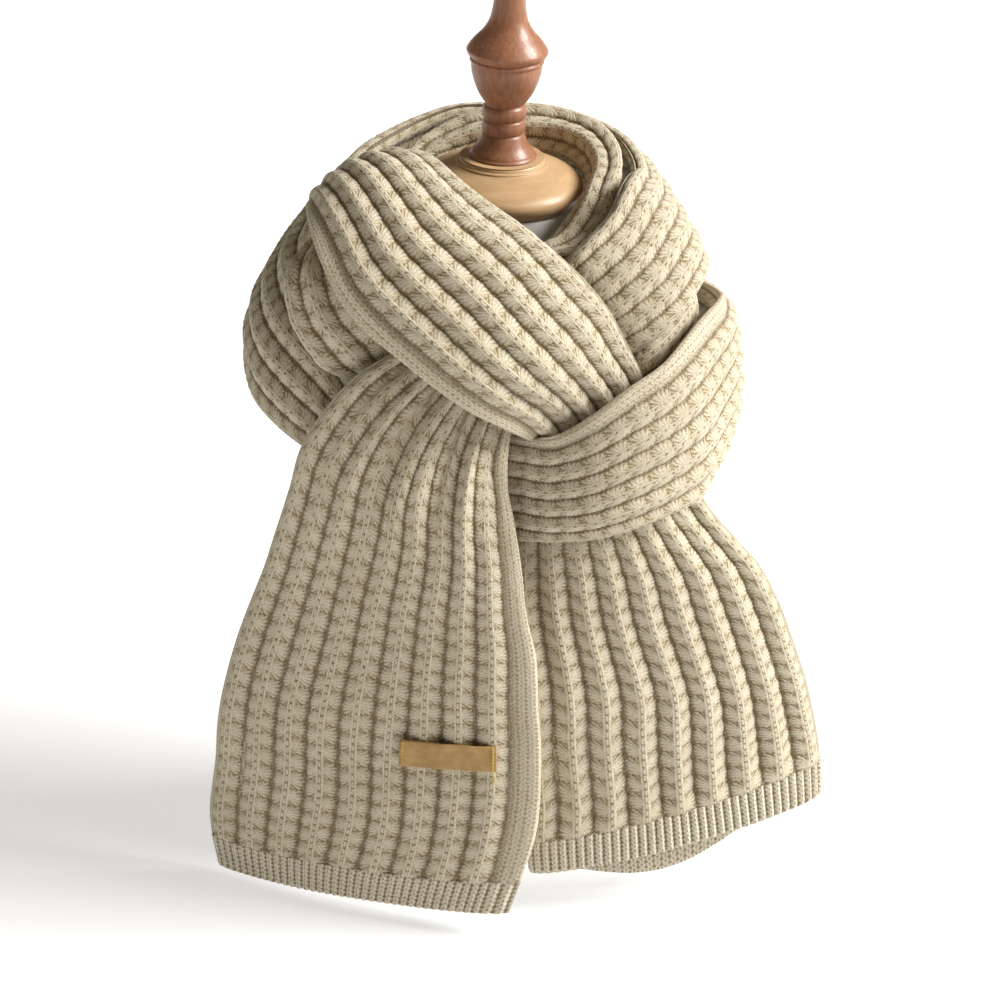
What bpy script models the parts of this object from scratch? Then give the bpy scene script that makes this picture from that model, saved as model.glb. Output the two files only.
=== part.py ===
"""Knit scarf wound twice round a limbless dress form.

The scarf is one flattened knitted tube.  ROUTE follows it from the hem of the right tail,
up behind the lower loop, across the front, round the back, round the front again, round the
back once more and down the left tail.  Each row of ROUTE is one section: its two edges, its
thickness and how far its middle bows outward.  Lengths are in millimetres here and the solids
are made in metres.  The origin is on the floor, on the axis of the form.
"""

import math

import bmesh
import bpy
import numpy as np
from mathutils import Vector
from mathutils.bvhtree import BVHTree

MM = 0.001

# Cloth
STATION_STEP = 25.0      # distance between sections along the scarf
SEAM_GAP = 0.8           # clear space where two stretches meet end to end
ACROSS = 17              # points across the middle surface of a stretch
RING_STEPS = 96          # fine points round a section before the ribs are placed
RIB_HEIGHT = 4.0
WALL_UNDER_RIB = 2.4     # cloth left under the furrow between two ribs
SLIT = 3.0               # least space inside the flattened tube
WRAP_RIBS = 16           # ribs round a gathered stretch
TAIL_RIBS = 19           # ribs round a tail that hangs at full width
HEM_RIBS = 76            # fine ribs round a hem band
HEM_RIB_HEIGHT = 1.8
LAYER_GAP = 2.4          # space left between layers of cloth where they cross
FOLD_GAP = 0.8           # the same where one of them is a small fold
BODY_GAP = 0.6           # space left between the cloth and the form
PLEAT_AT = 0.25          # where one furrow of the gathers lies, from -1 to 1 across
PLEAT_PITCH = 0.5        # and the distance to the next

# Dress form
CAP_HEIGHT = 512.0       # height of the widest circle of the neck cap
CAP_RADIUS = 55.0
NECK_RADIUS = 50.0
NECK_TOP = 500.3         # the cap sits 0.3 over it

# One row per section.  Columns: upper edge x, y, z, lower edge x, y, z, thickness,
# bow, pleat.
# On the tails the upper edge is the one that continues the edge next to the neck.
ROUTE = {
    "hem_right": (
        (255, -62, 80, 48, -114, 33, 28, 8, 0),
    ),
    "tail_right": (
        (251, -62, 107, 46, -115, 59, 26, 8, 0),
        (246, -62, 134, 44, -118, 95, 22, 8, 0),
        (241, -64, 152, 41, -122, 136, 19, 8, 0),
        (233, -66, 178, 40, -126, 180, 18, 8, 0),
        (221, -70, 210, 36, -125, 215, 18, 8, 0),
        (208, -75, 242, 33, -122, 245, 18, 8, 0),
        (194, -80, 271, 32, -120, 271, 18, 8, 0),
        (175, -84, 294, 32, -118, 293, 18, 8, 0),
        (157, -88, 317, 33, -114, 311, 18, 6, 0),
        (141, -92, 348, 34, -110, 332, 18, 4, 0),
        (124, -97, 381, 33, -107, 351, 18, 3, 0),
    ),
    "cross_front": (
        (109, -101, 411, 33, -106, 365, 18, 3, 0),
        (97, -106, 434, 22, -128, 385, 18, 5, 0),
        (84, -110, 456, 4, -148, 401, 20, 8, 0),
        (69, -110, 476, -21, -158, 420, 22, 12, 0),
        (50, -106, 494, -47, -156, 438, 22, 14, 0),
        (30, -100, 508, -69, -150, 453, 22, 14, 0),
        (9, -91, 521, -90, -140, 468, 22, 14, 0),
        (-12, -80, 529, -104, -126, 484, 22, 14, 0),
        (-32, -62, 537, -114, -106, 499, 22, 13, 0),
        (-50, -38, 537, -119, -80, 507, 22, 11, 0),
    ),
    "back_band": (
        (-62, -18, 522, -123, -35, 494, 22, 11, 0),
        (-66, 0, 512, -113, 0, 480, 22, 10, 0),
        (-67, 19, 496, -108, 31, 454, 22, 8, 0),
        (-65, 41, 480, -98, 61, 424, 22, 7, 0),
        (-55, 66, 466, -77, 92, 398, 22, 7, 0),
        (-34, 85, 456, -45, 111, 376, 22, 7, 0),
        (-3, 97, 448, -4, 120, 362, 22, 7, 0),
        (30, 99, 440, 36, 117, 354, 22, 7, 0),
        (66, 91, 433, 76, 105, 349, 22, 8, 0),
        (103, 69, 430, 117, 79, 346, 22, 8, 0),
        (131, 33, 434, 146, 36, 347, 22, 9, 0),
    ),
    "loop_right": (
        (142, -7, 441, 156, -8, 348, 22, 9, 0),
        (137, -36, 449, 159, -48, 354, 22, 9, 0),
        (128, -62, 450, 146, -75, 344, 22, 10, 0),
        (117, -90, 447, 135, -97, 333, 22, 11, 0),
        (105, -110, 438, 116, -114, 329, 22, 11, 0),
        (86, -124, 428, 93, -127, 323, 21, 10, 0),
        (64, -131, 411, 70, -132, 317, 19, 8, 0),
        (46, -128, 392, 47, -130, 312, 17, 5, 0),
        (28, -119, 378, 26, -123, 308, 16, 3, 0),
    ),
    "loop_left": (
        (1, -110, 376, -2, -114, 304, 16, 3, 0),
        (-32, -106, 390, -36, -112, 312, 16, 4, 0),
        (-62, -104, 406, -66, -112, 326, 16, 6, 0),
        (-85, -98, 427, -93, -112, 342, 18, 8, 0),
        (-93, -84, 445, -115, -106, 355, 20, 10, 0),
        (-103, -66, 456, -132, -92, 361, 22, 12, 0),
        (-112, -46, 466, -150, -68, 366, 22, 13, 0),
        (-116, -38, 474, -158, -51, 372, 22, 13, 0),
        (-116, -12, 488, -164, -17, 381, 22, 13, 0),
    ),
    "collar_back": (
        (-109, 13, 496, -159, 19, 390, 22, 12, 0),
        (-98, 40, 509, -143, 58, 402, 22, 11, 0),
        (-84, 61, 520, -121, 88, 412, 20, 11, 0),
        (-63, 78, 527, -91, 112, 419, 20, 10, 0),
        (-36, 90, 531, -52, 130, 424, 19, 9, 0),
        (-5, 95, 533, -7, 137, 428, 19, 9, 0),
        (26, 89, 534, 37, 129, 433, 18, 8, 0),
        (53, 75, 533, 76, 108, 438, 18, 8, 0),
        (74, 52, 530, 106, 75, 445, 18, 7, 0),
        (84, 23, 526, 125, 33, 452, 19, 7, 0),
    ),
    "collar_right": (
        (85, -7, 524, 131, -11, 456, 20, 6, 0),
        (78, -45, 534, 130, -55, 466, 20, 8, 0),
        (69, -70, 521, 120, -78, 457, 20, 8, 0),
        (54, -83, 507, 107, -90, 443, 18, 7, 0),
        (41, -87, 492, 86, -94, 428, 18, 5, 0),
    ),
    "tail_left": (
        (16, -88, 474, 53, -98, 415, 16, 4, 3),
        (-15, -96, 460, 29, -112, 403, 16, 4, 4),
        (-43, -110, 449, 15, -126, 393, 16, 5, 5),
        (-66, -126, 441, 14, -131, 377, 16, 6, 6),
        (-87, -132, 427, 15, -134, 355, 18, 7, 6),
        (-108, -132, 398, 19, -139, 336, 18, 8, 5),
        (-122, -130, 370, 24, -144, 315, 18, 9, 3),
        (-132, -124, 328, 29, -148, 289, 18, 10, 1),
        (-144, -117, 282, 34, -150, 262, 18, 10, 0),
        (-157, -111, 243, 41, -151, 232, 18, 10, 0),
        (-170, -106, 199, 44, -152, 201, 18, 10, 0),
        (-179, -102, 155, 48, -152, 165, 18, 10, 0),
        (-184, -98, 102, 50, -152, 120, 18, 10, 0),
        (-188, -95, 65, 47, -152, 84, 18, 9, 0),
    ),
    "hem_left": (
        (-187, -93, 35, 40, -151, 49, 18, 8, 0),
        (-183, -92, 10, 33, -150, 23, 18, 8, 0),
    ),
}

# Folds that show beside the stretches above.  The columns are the same.
FOLDS = {
    "cross_fold": (
        (-125, -64, 499, -111, -62, 500, 8, 1, 0),
        (-127, -82, 493, -102, -80, 495, 10, 2, 0),
        (-132, -99, 480, -96, -107, 486, 12, 4, 0),
        (-131, -107, 463, -89, -116, 470, 12, 4, 0),
        (-124, -113, 445, -79, -119, 455, 12, 4, 0),
        (-114, -116, 430, -71, -119, 441, 14, 4, 0),
        (-102, -116, 410, -63, -118, 429, 14, 3, 0),
    ),
    "collar_fold": (
        (110, 23, 471, 141, 30, 440, 18, 5, 0),
        (119, -28, 471, 144, -38, 445, 14, 7, 0),
        (113, -46, 465, 139, -56, 437, 14, 8, 0),
        (105, -62, 457, 130, -74, 427, 14, 8, 0),
        (94, -76, 450, 115, -88, 418, 16, 7, 0),
        (81, -81, 440, 98, -91, 407, 14, 5, 0),
    ),
    "collar_inner": (
        (-45, 50, 498, -59, 65, 516, 14, 4, 0),
        (-26, 58, 503, -34, 76, 528, 16, 6, 0),
        (-7, 61, 508, -10, 79, 536, 17, 7, 0),
        (11, 60, 510, 14, 79, 539, 17, 7, 0),
        (31, 53, 511, 40, 69, 539, 17, 7, 0),
        (47, 39, 511, 61, 51, 537, 17, 7, 0),
        (57, 21, 510, 73, 27, 533, 17, 7, 0),
        (61, 0, 508, 78, 0, 528, 17, 7, 0),
        (58, -21, 505, 75, -27, 523, 16, 7, 0),
        (48, -40, 499, 64, -54, 515, 15, 6, 0),
        (36, -55, 490, 48, -74, 503, 14, 5, 0),
        (22, -73, 482, 28, -92, 489, 15, 4, 0),
        (6, -82, 471, 7, -98, 475, 12, 3, 0),
    ),
}

RIBS = {"tail_right": TAIL_RIBS, "tail_left": TAIL_RIBS}

# Crossings, as (outer stretch, inner stretch, share of the push that the outer one takes).
CROSSINGS = (
    ("cross_front", "collar_right", 0.7),
    ("cross_front", "tail_left", 0.8),
    ("cross_front", "loop_left", 0.8),
    ("cross_front", "cross_fold", 0.7),
    ("cross_front", "collar_inner", 0.7),
    ("collar_back", "back_band", 0.7),
    ("loop_left", "back_band", 0.7),
    ("collar_right", "back_band", 0.7),
    ("back_band", "collar_inner", 0.6),
    ("loop_right", "tail_right", 0.6),
    ("loop_right", "cross_front", 0.6),
    ("loop_right", "collar_right", 0.6),
    ("loop_right", "collar_fold", 0.5),
    ("tail_left", "loop_left", 0.7),
    ("tail_left", "loop_right", 0.7),
    ("tail_left", "cross_fold", 0.7),
    ("tail_left", "tail_right", 0.5),
    ("cross_fold", "loop_left", 0.6),
    ("collar_right", "collar_inner", 0.8),
    ("collar_back", "collar_inner", 0.8),
    ("tail_left", "collar_inner", 0.8),
    ("collar_right", "collar_fold", 0.5),
)
SETTLE_ROUNDS = 90
REACH = 42.0             # how far to either side a crossing layer is looked for
BODY_REACH = 60.0        # how near the form cloth is held off it

# Torso of the form, bottom to top.  Columns: height, half width, half depth.
TORSO = (
    (0.0, 106.0, 55.0),
    (40.0, 111.0, 63.0),
    (95.0, 108.0, 68.0),
    (150.0, 102.0, 69.0),
    (210.0, 108.0, 74.0),
    (265.0, 120.0, 79.0),
    (315.0, 129.0, 79.0),
    (360.0, 130.0, 74.0),
    (395.0, 129.0, 75.0),
    (418.0, 124.0, 73.0),
    (436.0, 112.0, 70.0),
    (452.0, 93.0, 64.0),
    (468.0, 69.0, 57.0),
    (482.0, NECK_RADIUS, NECK_RADIUS),
    (NECK_TOP, NECK_RADIUS, NECK_RADIUS),
)
TORSO_SIDES = 40

# Turned profiles, top to bottom down their outer side.  Columns: radius, height over CAP_HEIGHT.
CAP_PROFILE = (
    (0.0, 18.0), (25.0, 17.4), (31.5, 15.6), (34.0, 13.4), (34.6, 12.0), (36.4, 11.6),
    (37.0, 10.2), (44.0, 8.0), (50.5, 4.8), (54.0, 1.4), (CAP_RADIUS, -2.0), (53.6, -6.0),
    (50.4, -9.4), (45.0, -11.0), (0.0, -11.4),
)
FINIAL_PROFILE = (
    (0.0, 152.0), (5.4, 151.0), (9.6, 147.0), (11.4, 141.0), (9.8, 135.4), (7.6, 132.4),
    (9.2, 123.0), (10.6, 115.5), (12.5, 109.0), (16.6, 102.3), (22.6, 96.0), (26.3, 90.0),
    (26.0, 86.6), (23.6, 83.0), (22.4, 76.0), (20.4, 69.0), (17.4, 62.0), (14.0, 56.4),
    (12.4, 53.0), (14.6, 50.4), (15.4, 44.6), (14.2, 38.4), (12.8, 36.6), (15.4, 33.4),
    (15.6, 30.0), (14.4, 27.8), (17.2, 24.4), (21.6, 20.6), (22.4, 18.3), (0.0, 18.3),
)

LABEL_THICKNESS = 1.6
LABEL_LIFT = 0.4
LABEL_TOP, LABEL_BOTTOM = 0.735, 0.781        # places along the left tail
LABEL_LEFT, LABEL_RIGHT = 0.14, 0.75          # places across it, from -1 to 1

FOLD_RIBS = 6
FOLD_RIB_HEIGHT = 2.0

BACK_DROP = 33.0
BACK_DROP_STATIONS = 7
BACK_DROP_START = -0.82  # how far across the sag begins, from -1 at the outer edge


def smooth_rows(rows, places):
    """Read a table of rows at fractional places along a smooth curve through them."""
    last = len(rows) - 1
    read = []
    for place in places:
        i = min(int(place), last - 1)
        f = place - i
        before = rows[max(i - 1, 0)] if i > 0 else 2 * rows[0] - rows[1]
        after = rows[i + 2] if i + 2 <= last else 2 * rows[last] - rows[last - 1]
        here, there = rows[i], rows[i + 1]
        read.append(0.5 * (2 * here + (there - before) * f
                           + (2 * before - 5 * here + 4 * there - after) * f ** 2
                           + (3 * here - before - 3 * there + after) * f ** 3))
    return np.array(read)


def unit(vectors):
    return vectors / np.maximum(np.linalg.norm(vectors, axis=-1, keepdims=True), 1e-9)


def stations(rows):
    """Places along a table, in rows, with even spacing of about STATION_STEP."""
    middle = (rows[:, 0:3] + rows[:, 3:6]) / 2
    run = np.concatenate([[0.0], np.cumsum(np.linalg.norm(np.diff(middle, axis=0), axis=1))])
    count = max(int(round(run[-1] / STATION_STEP)), 1)
    return np.interp(np.linspace(0.0, run[-1], count + 1), run, np.arange(len(rows)))


def middle_surface(rows):
    """Middle surface of a stretch as a grid, stations by ACROSS, and its thickness."""
    upper, lower = rows[:, None, 0:3], rows[:, None, 3:6]
    middle = (rows[:, 0:3] + rows[:, 3:6]) / 2
    travel = unit(np.gradient(middle, axis=0))
    out = unit(np.cross(travel, rows[:, 3:6] - rows[:, 0:3]))[:, None, :]
    u = np.linspace(-1.0, 1.0, ACROSS)[None, :, None]
    bow, pleat = rows[:, 7][:, None, None], rows[:, 8][:, None, None]
    gather = -np.cos(2 * math.pi * (u - PLEAT_AT) / PLEAT_PITCH)
    swell = (bow + pleat * gather) * (1 - u ** 2)
    return upper + (lower - upper) * (u + 1) / 2 + out * swell, rows[:, 6]


def outward(grid):
    """Normals of a middle surface, on its visible side."""
    return unit(np.cross(np.gradient(grid, axis=0), np.gradient(grid, axis=1)))


def grid_tree(grid):
    n, m = grid.shape[:2]
    faces = [(i * m + j, i * m + j + 1, (i + 1) * m + j + 1, (i + 1) * m + j)
             for i in range(n - 1) for j in range(m - 1)]
    return BVHTree.FromPolygons([Vector(p) for p in grid.reshape(-1, 3)], faces)


def lay_route():
    """Middle surfaces of the whole scarf, with the first and last station of each stretch."""
    rows, spans = [], {}
    for name, table in ROUTE.items():
        spans[name] = [len(rows), None]
        rows += list(table)
    names = list(ROUTE)
    rows = np.array(rows, dtype=float)
    ends = [spans[name][0] for name in names[1:]] + [len(rows) - 1]
    all_rows, thick, first = [], [], 0
    ranges = {}
    count = 0
    for name, end in zip(names, ends):
        places = first + stations(rows[first:end + 1])
        read = smooth_rows(rows, places)
        if count:
            read = read[1:]
        ranges[name] = (count - 1 if count else 0, count + len(read) - 1)
        all_rows.append(read)
        count += len(read)
        first = end
    grid, thick = middle_surface(np.concatenate(all_rows))
    return grid, thick, ranges


def soften(field, strength):
    """Average a displacement field with its neighbours along and across a stretch."""
    padded = np.pad(field, ((1, 1), (1, 1), (0, 0)), mode="edge")
    along = (padded[:-2, 1:-1] + padded[2:, 1:-1]) / 2
    over = (padded[1:-1, :-2] + padded[1:-1, 2:]) / 2
    return field * (1 - strength) + (along + over) / 2 * strength


def settle(grid, thick, ranges, folds):
    """Part the layers where they cross, the outer one outward and the inner one inward."""
    sheets = {name: (grid, thick, a, b) for name, (a, b) in ranges.items()}
    for name, (fold_grid, fold_thick) in folds.items():
        sheets[name] = (fold_grid, fold_thick, 0, len(fold_grid) - 1)
    fields = {id(s[0]): np.zeros_like(s[0]) for s in sheets.values()}
    base = {id(s[0]): s[0].copy() for s in sheets.values()}
    body = torso_tree()
    for turn in range(SETTLE_ROUNDS):
        pushes = {key: np.zeros_like(field) for key, field in fields.items()}
        for over, under, share in CROSSINGS:
            g_over, t_over, a, b = sheets[over]
            g_under, t_under, c, d = sheets[under]
            gap = FOLD_GAP if over in FOLDS or under in FOLDS else LAYER_GAP
            tree = grid_tree(g_under[c:d + 1])
            normals = outward(g_over[a:b + 1])
            for i in range(a, b + 1):
                for j in range(ACROSS):
                    n = normals[i - a, j]
                    point = g_over[i, j]
                    hit, _, face, far = tree.ray_cast(Vector(point + n * REACH), Vector(-n), 2 * REACH)
                    if hit is None:
                        continue
                    row = c + face // (ACROSS - 1)
                    column = face % (ACROSS - 1)
                    need = (t_over[i] + t_under[row]) / 2 + gap
                    excess = REACH - far + need
                    if excess <= 0:
                        continue
                    pushes[id(g_over)][i, j] += n * excess * share * 0.5
                    for r in (row, row + 1):
                        for k in (column, column + 1):
                            pushes[id(g_under)][r, k] -= n * excess * (1 - share) * 0.25
        for name, (g, t, a, b) in sheets.items():
            for i in range(a, b + 1):
                for j in range(ACROSS):
                    near, normal, _, _ = body.find_nearest(Vector(g[i, j]), BODY_REACH)
                    if near is None:
                        continue
                    side = np.array(Vector(g[i, j]) - near) @ np.array(normal)
                    depth = t[i] / 2 + BODY_GAP - side
                    if depth > 0:
                        pushes[id(g)][i, j] += np.array(normal) * depth * 0.7
        calm = np.interp(turn / SETTLE_ROUNDS, (0.6, 0.9), (0.35, 0.0))
        for key in fields:
            fields[key] = soften(fields[key] + pushes[key], calm)
        for g in {id(s[0]): s[0] for s in sheets.values()}.values():
            g[:] = base[id(g)] + fields[id(g)]


def torso_rings():
    rings = []
    for height, half_width, half_depth in TORSO:
        turn = [2 * math.pi * k / TORSO_SIDES for k in range(TORSO_SIDES)]
        rings.append([(half_width * math.cos(t), half_depth * math.sin(t), height) for t in turn])
    return rings


def torso_tree():
    points = [Vector(p) for ring in torso_rings() for p in ring]
    n = TORSO_SIDES
    faces = [(r * n + k, r * n + (k + 1) % n, (r + 1) * n + (k + 1) % n, (r + 1) * n + k)
             for r in range(len(TORSO) - 1) for k in range(n)]
    return BVHTree.FromPolygons(points, faces)


def section(middle, normals, half, inset=0.0):
    """Closed outline of one section, from the upper edge over the visible side and back."""
    turn = np.linspace(0.0, 2 * math.pi, RING_STEPS, endpoint=False)
    width = np.linalg.norm(np.diff(middle, axis=0), axis=1).sum()
    u = -np.sign(np.cos(turn)) * np.abs(np.cos(turn)) ** 0.9 * (1 - 2 * inset / width)
    rise = np.sign(np.sin(turn)) * np.abs(np.sin(turn)) ** 0.62
    spot = (u + 1) / 2 * (ACROSS - 1)
    low = np.minimum(spot.astype(int), ACROSS - 2)
    f = (spot - low)[:, None]
    line = middle[low] * (1 - f) + middle[low + 1] * f
    lift = unit(normals[low] * (1 - f) + normals[low + 1] * f)
    return line + lift * (rise * half)[:, None]


def ring_places(outline, count):
    """Places round an outline, evenly spaced, as fractional indices."""
    steps = np.linalg.norm(np.diff(np.vstack([outline, outline[:1]]), axis=0), axis=1)
    run = np.concatenate([[0.0], np.cumsum(steps)])
    return np.interp(np.linspace(0.0, run[-1], count, endpoint=False), run, np.arange(len(outline) + 1))


def read_ring(ring, places):
    low = places.astype(int)
    f = (places - low)[:, None]
    return ring[low % len(ring)] * (1 - f) + ring[(low + 1) % len(ring)] * f


def ring_outward(outline, travel):
    """Directions that point out of an outline, square to the scarf's travel."""
    along = np.roll(outline, -1, axis=0) - np.roll(outline, 1, axis=0)
    return unit(np.cross(travel[None, :], along))


def ribbed_ring(outline, travel, ribs, height):
    """Outer ring of a section: one ridge and one furrow for each rib."""
    out = ring_outward(outline, travel)
    places = ring_places(outline, 2 * ribs)
    ring, lift = read_ring(outline, places), unit(read_ring(out, places))
    ring[1::2] -= lift[1::2] * height
    return ring


def inner_ring(middle, normals, half, count, wall):
    """Plain inner ring of a section, one wall inside its furrows."""
    outline = section(middle, normals, max(half - wall, SLIT / 2), wall)
    return read_ring(outline, ring_places(outline, count))


def object_from_mesh(name, mesh, material, collection):
    mesh.update()
    thing = bpy.data.objects.new(name, mesh)
    thing.data.materials.append(material)
    collection.objects.link(thing)
    return thing


def closed_mesh(name, points, faces):
    """Mesh in metres from points in millimetres, with its faces turned outward."""
    shape = bmesh.new()
    corners = [shape.verts.new(Vector(p) * MM) for p in points]
    for face in faces:
        shape.faces.new([corners[k] for k in face])
    bmesh.ops.recalc_face_normals(shape, faces=shape.faces)
    mesh = bpy.data.meshes.new(name)
    shape.to_mesh(mesh)
    shape.free()
    return mesh


def band_faces(count, rows, start):
    """Quads between the rings of a loft, whose points begin at start."""
    return [(start + r * count + k, start + r * count + (k + 1) % count,
             start + (r + 1) * count + (k + 1) % count, start + (r + 1) * count + k)
            for r in range(rows - 1) for k in range(count)]


def rim_faces(outer, n_outer, inner, n_inner):
    """Triangles that join an outer ring to an inner ring with fewer points."""
    each = n_outer // n_inner
    faces = []
    for k in range(n_inner):
        here, there = inner + k, inner + (k + 1) % n_inner
        for s in range(each):
            a = outer + (each * k + s) % n_outer
            b = outer + (each * k + s + 1) % n_outer
            faces.append((a, b, here))
        faces.append((outer + each * (k + 1) % n_outer, there, here))
    return faces


def tube(name, outer, inner):
    """Hollow tube with open ends from matching lists of outer and inner rings."""
    n_outer, n_inner, rows = len(outer[0]), len(inner[0]), len(outer)
    start = n_outer * rows
    faces = band_faces(n_outer, rows, 0) + band_faces(n_inner, rows, start)
    faces += rim_faces(0, n_outer, start, n_inner)
    faces += rim_faces(n_outer * (rows - 1), n_outer, start + n_inner * (rows - 1), n_inner)
    return closed_mesh(name, np.concatenate(outer + inner), faces)


def roll(name, rings):
    """Solid roll of cloth from a list of rings, closed at both ends."""
    count, rows = len(rings[0]), len(rings)
    middle = [rings[0].mean(axis=0)[None, :], rings[-1].mean(axis=0)[None, :]]
    faces = band_faces(count, rows, 0)
    first, last = count * rows, count * rows + 1
    for k in range(count):
        faces.append((k, (k + 1) % count, first))
        faces.append((count * (rows - 1) + k, count * (rows - 1) + (k + 1) % count, last))
    return closed_mesh(name, np.concatenate(rings + middle), faces)


def hang_back(ring, middle, normal, travel, drop):
    """Let the back of a section hang lower than its front, most of all near its middle."""
    across = middle[-1] - middle[0]
    u = 2 * (ring - middle[0]) @ across / (across @ across) - 1
    line = np.array([np.interp(u, np.linspace(-1, 1, ACROSS), middle[:, k]) for k in range(3)]).T
    behind = ((ring - line) @ normal) < 0
    sag = np.sin(math.pi * np.clip((u - BACK_DROP_START) / (1 - BACK_DROP_START), 0, 1)) ** 1.5
    return ring - travel[None, :] * (behind * sag * drop)[:, None]


def square_to(grid, normals, travel):
    """Directions along the scarf that stand square to each section."""
    across = grid[:, -1] - grid[:, 0]
    square = unit(np.cross(across, normals.mean(axis=1)))
    return square * np.sign((square * travel).sum(axis=1))[:, None]


def stretch_rings(name, grid, thick, a, b):
    """Outer and inner rings of one stretch between two stations."""
    normals = outward(grid)
    travel = unit(np.gradient(grid.mean(axis=1), axis=0))
    square = square_to(grid, normals, travel)
    fine = name.startswith("hem")
    ribs = HEM_RIBS if fine else RIBS.get(name, WRAP_RIBS)
    height = HEM_RIB_HEIGHT if fine else RIB_HEIGHT
    wall = RIB_HEIGHT + WALL_UNDER_RIB
    inner_count = TAIL_RIBS if fine else ribs
    outer_rings, inner_rings = [], []
    for i in range(a, b + 1):
        half = thick[i] / 2
        outline = section(grid[i], normals[i], half)
        outer = ribbed_ring(outline, square[i], ribs, height)
        inner = inner_ring(grid[i], normals[i], half, inner_count, wall)
        drop = BACK_DROP * max(0.0, 1 - i / BACK_DROP_STATIONS) ** 2
        shift = square[i] * SEAM_GAP / 2 * (float(i == a) - float(i == b))
        for ring, rings in ((outer, outer_rings), (inner, inner_rings)):
            hung = hang_back(ring, grid[i], normals[i].mean(axis=0), travel[i], drop)
            rings.append(hung + shift)
    return outer_rings, inner_rings


def fold_rings(grid, thick):
    normals = outward(grid)
    travel = square_to(grid, normals, unit(np.gradient(grid.mean(axis=1), axis=0)))
    return [ribbed_ring(section(grid[i], normals[i], thick[i] / 2), travel[i], FOLD_RIBS, FOLD_RIB_HEIGHT)
            for i in range(len(grid))]


def label_mesh(grid, thick, a, b):
    """Leather label that lies on the ribs of the left tail."""
    normals = outward(grid)
    rings = []
    for place in np.linspace(LABEL_TOP, LABEL_BOTTOM, 3):
        spot = a + (b - a) * place
        i = int(spot)
        f = spot - i
        rows = []
        for u in np.linspace(LABEL_LEFT, LABEL_RIGHT, 8):
            j = int((u + 1) / 2 * (ACROSS - 1))
            g = (u + 1) / 2 * (ACROSS - 1) - j
            point, lift = (sum(w * field[i + r, j + c] for r, c, w in (
                (0, 0, (1 - f) * (1 - g)), (0, 1, (1 - f) * g), (1, 0, f * (1 - g)), (1, 1, f * g)))
                for field in (grid, normals))
            rise = (1 - abs(u) ** 2.2) ** 0.31
            rows.append((point + lift * (thick[i] / 2 * rise + LABEL_LIFT), unit(lift)))
        rings.append(rows)
    n = len(rings[0])
    low = [p for row in rings for p, _ in row]
    high = [p + lift * LABEL_THICKNESS for row in rings for p, lift in row]
    faces = []
    for base in (0, len(low)):
        faces += [(base + r * n + k, base + r * n + k + 1, base + (r + 1) * n + k + 1, base + (r + 1) * n + k)
                  for r in range(2) for k in range(n - 1)]
    edge = [k for k in range(n)] + [r * n + n - 1 for r in (1, 2)]
    edge += [2 * n + k for k in range(n - 2, -1, -1)] + [n]
    top = len(low)
    faces += [(edge[k], edge[(k + 1) % len(edge)], top + edge[(k + 1) % len(edge)], top + edge[k])
              for k in range(len(edge))]
    return closed_mesh("label", np.array(low + high), faces)


def torso_mesh():
    rings = torso_rings()
    n, rows = TORSO_SIDES, len(rings)
    faces = band_faces(n, rows, 0)
    faces.append(tuple(range(n)))
    faces.append(tuple(range(n * (rows - 1), n * rows)))
    return closed_mesh("form_body", [p for ring in rings for p in ring], faces)


def turned(name, profile, base, material, collection, sides):
    """Turned piece: a profile that a Screw modifier spins round the form's axis."""
    mesh = bpy.data.meshes.new(name)
    points = [(radius * MM, 0.0, (base + height) * MM) for radius, height in profile]
    mesh.from_pydata(points, [(k, k + 1) for k in range(len(points) - 1)], [])
    thing = object_from_mesh(name, mesh, material, collection)
    spin = thing.modifiers.new("Turn", "SCREW")
    spin.angle = 2 * math.pi
    spin.steps = spin.render_steps = sides
    spin.use_merge_vertices = True
    spin.merge_threshold = 0.00005
    spin.use_smooth_shade = True
    return thing


def make_material(name, colour, roughness):
    material = bpy.data.materials.new(name)
    material.use_nodes = True
    shader = material.node_tree.nodes["Principled BSDF"]
    shader.inputs["Base Color"].default_value = (*colour, 1.0)
    shader.inputs["Roughness"].default_value = roughness
    return material


def main():
    for thing in list(bpy.data.objects):
        bpy.data.objects.remove(thing)
    collection = bpy.data.collections.new("knit_scarf_on_dress_form")
    bpy.context.scene.collection.children.link(collection)
    wool = make_material("oatmeal_wool", (0.62, 0.52, 0.40), 0.95)
    leather = make_material("label_leather", (0.45, 0.24, 0.12), 0.6)
    linen = make_material("form_cloth", (0.86, 0.85, 0.82), 0.9)
    pale_wood = make_material("cap_wood", (0.72, 0.52, 0.33), 0.5)
    red_wood = make_material("finial_wood", (0.36, 0.15, 0.07), 0.35)

    grid, thick, ranges = lay_route()
    folds = {}
    for name, table in FOLDS.items():
        rows = np.array(table, dtype=float)
        folds[name] = middle_surface(smooth_rows(rows, stations(rows)))
    settle(grid, thick, ranges, folds)

    for name, (a, b) in ranges.items():
        object_from_mesh(name, tube(name, *stretch_rings(name, grid, thick, a, b)), wool, collection)
    for name, (fold_grid, fold_thick) in folds.items():
        object_from_mesh(name, roll(name, fold_rings(fold_grid, fold_thick)), wool, collection)
    object_from_mesh("label", label_mesh(grid, thick, *ranges["tail_left"]), leather, collection)
    object_from_mesh("form_body", torso_mesh(), linen, collection)
    turned("neck_cap", CAP_PROFILE, CAP_HEIGHT, pale_wood, collection, 32)
    turned("finial", FINIAL_PROFILE, CAP_HEIGHT, red_wood, collection, 20)


main()
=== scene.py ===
"""Knit scarf wound twice round a limbless dress form: the looks, over the part's frame.

The scarf is one flattened knitted tube.  Tables of sections give its route and its folds, its
layers are parted here where they cross, as they are for the solids, and the knit is laid over
it: ribs, fans of long stitches to either side of a chain, plain rolls, ribbed hems.
Route and form are in millimetres; meshes are in metres.
"""

import math

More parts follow.
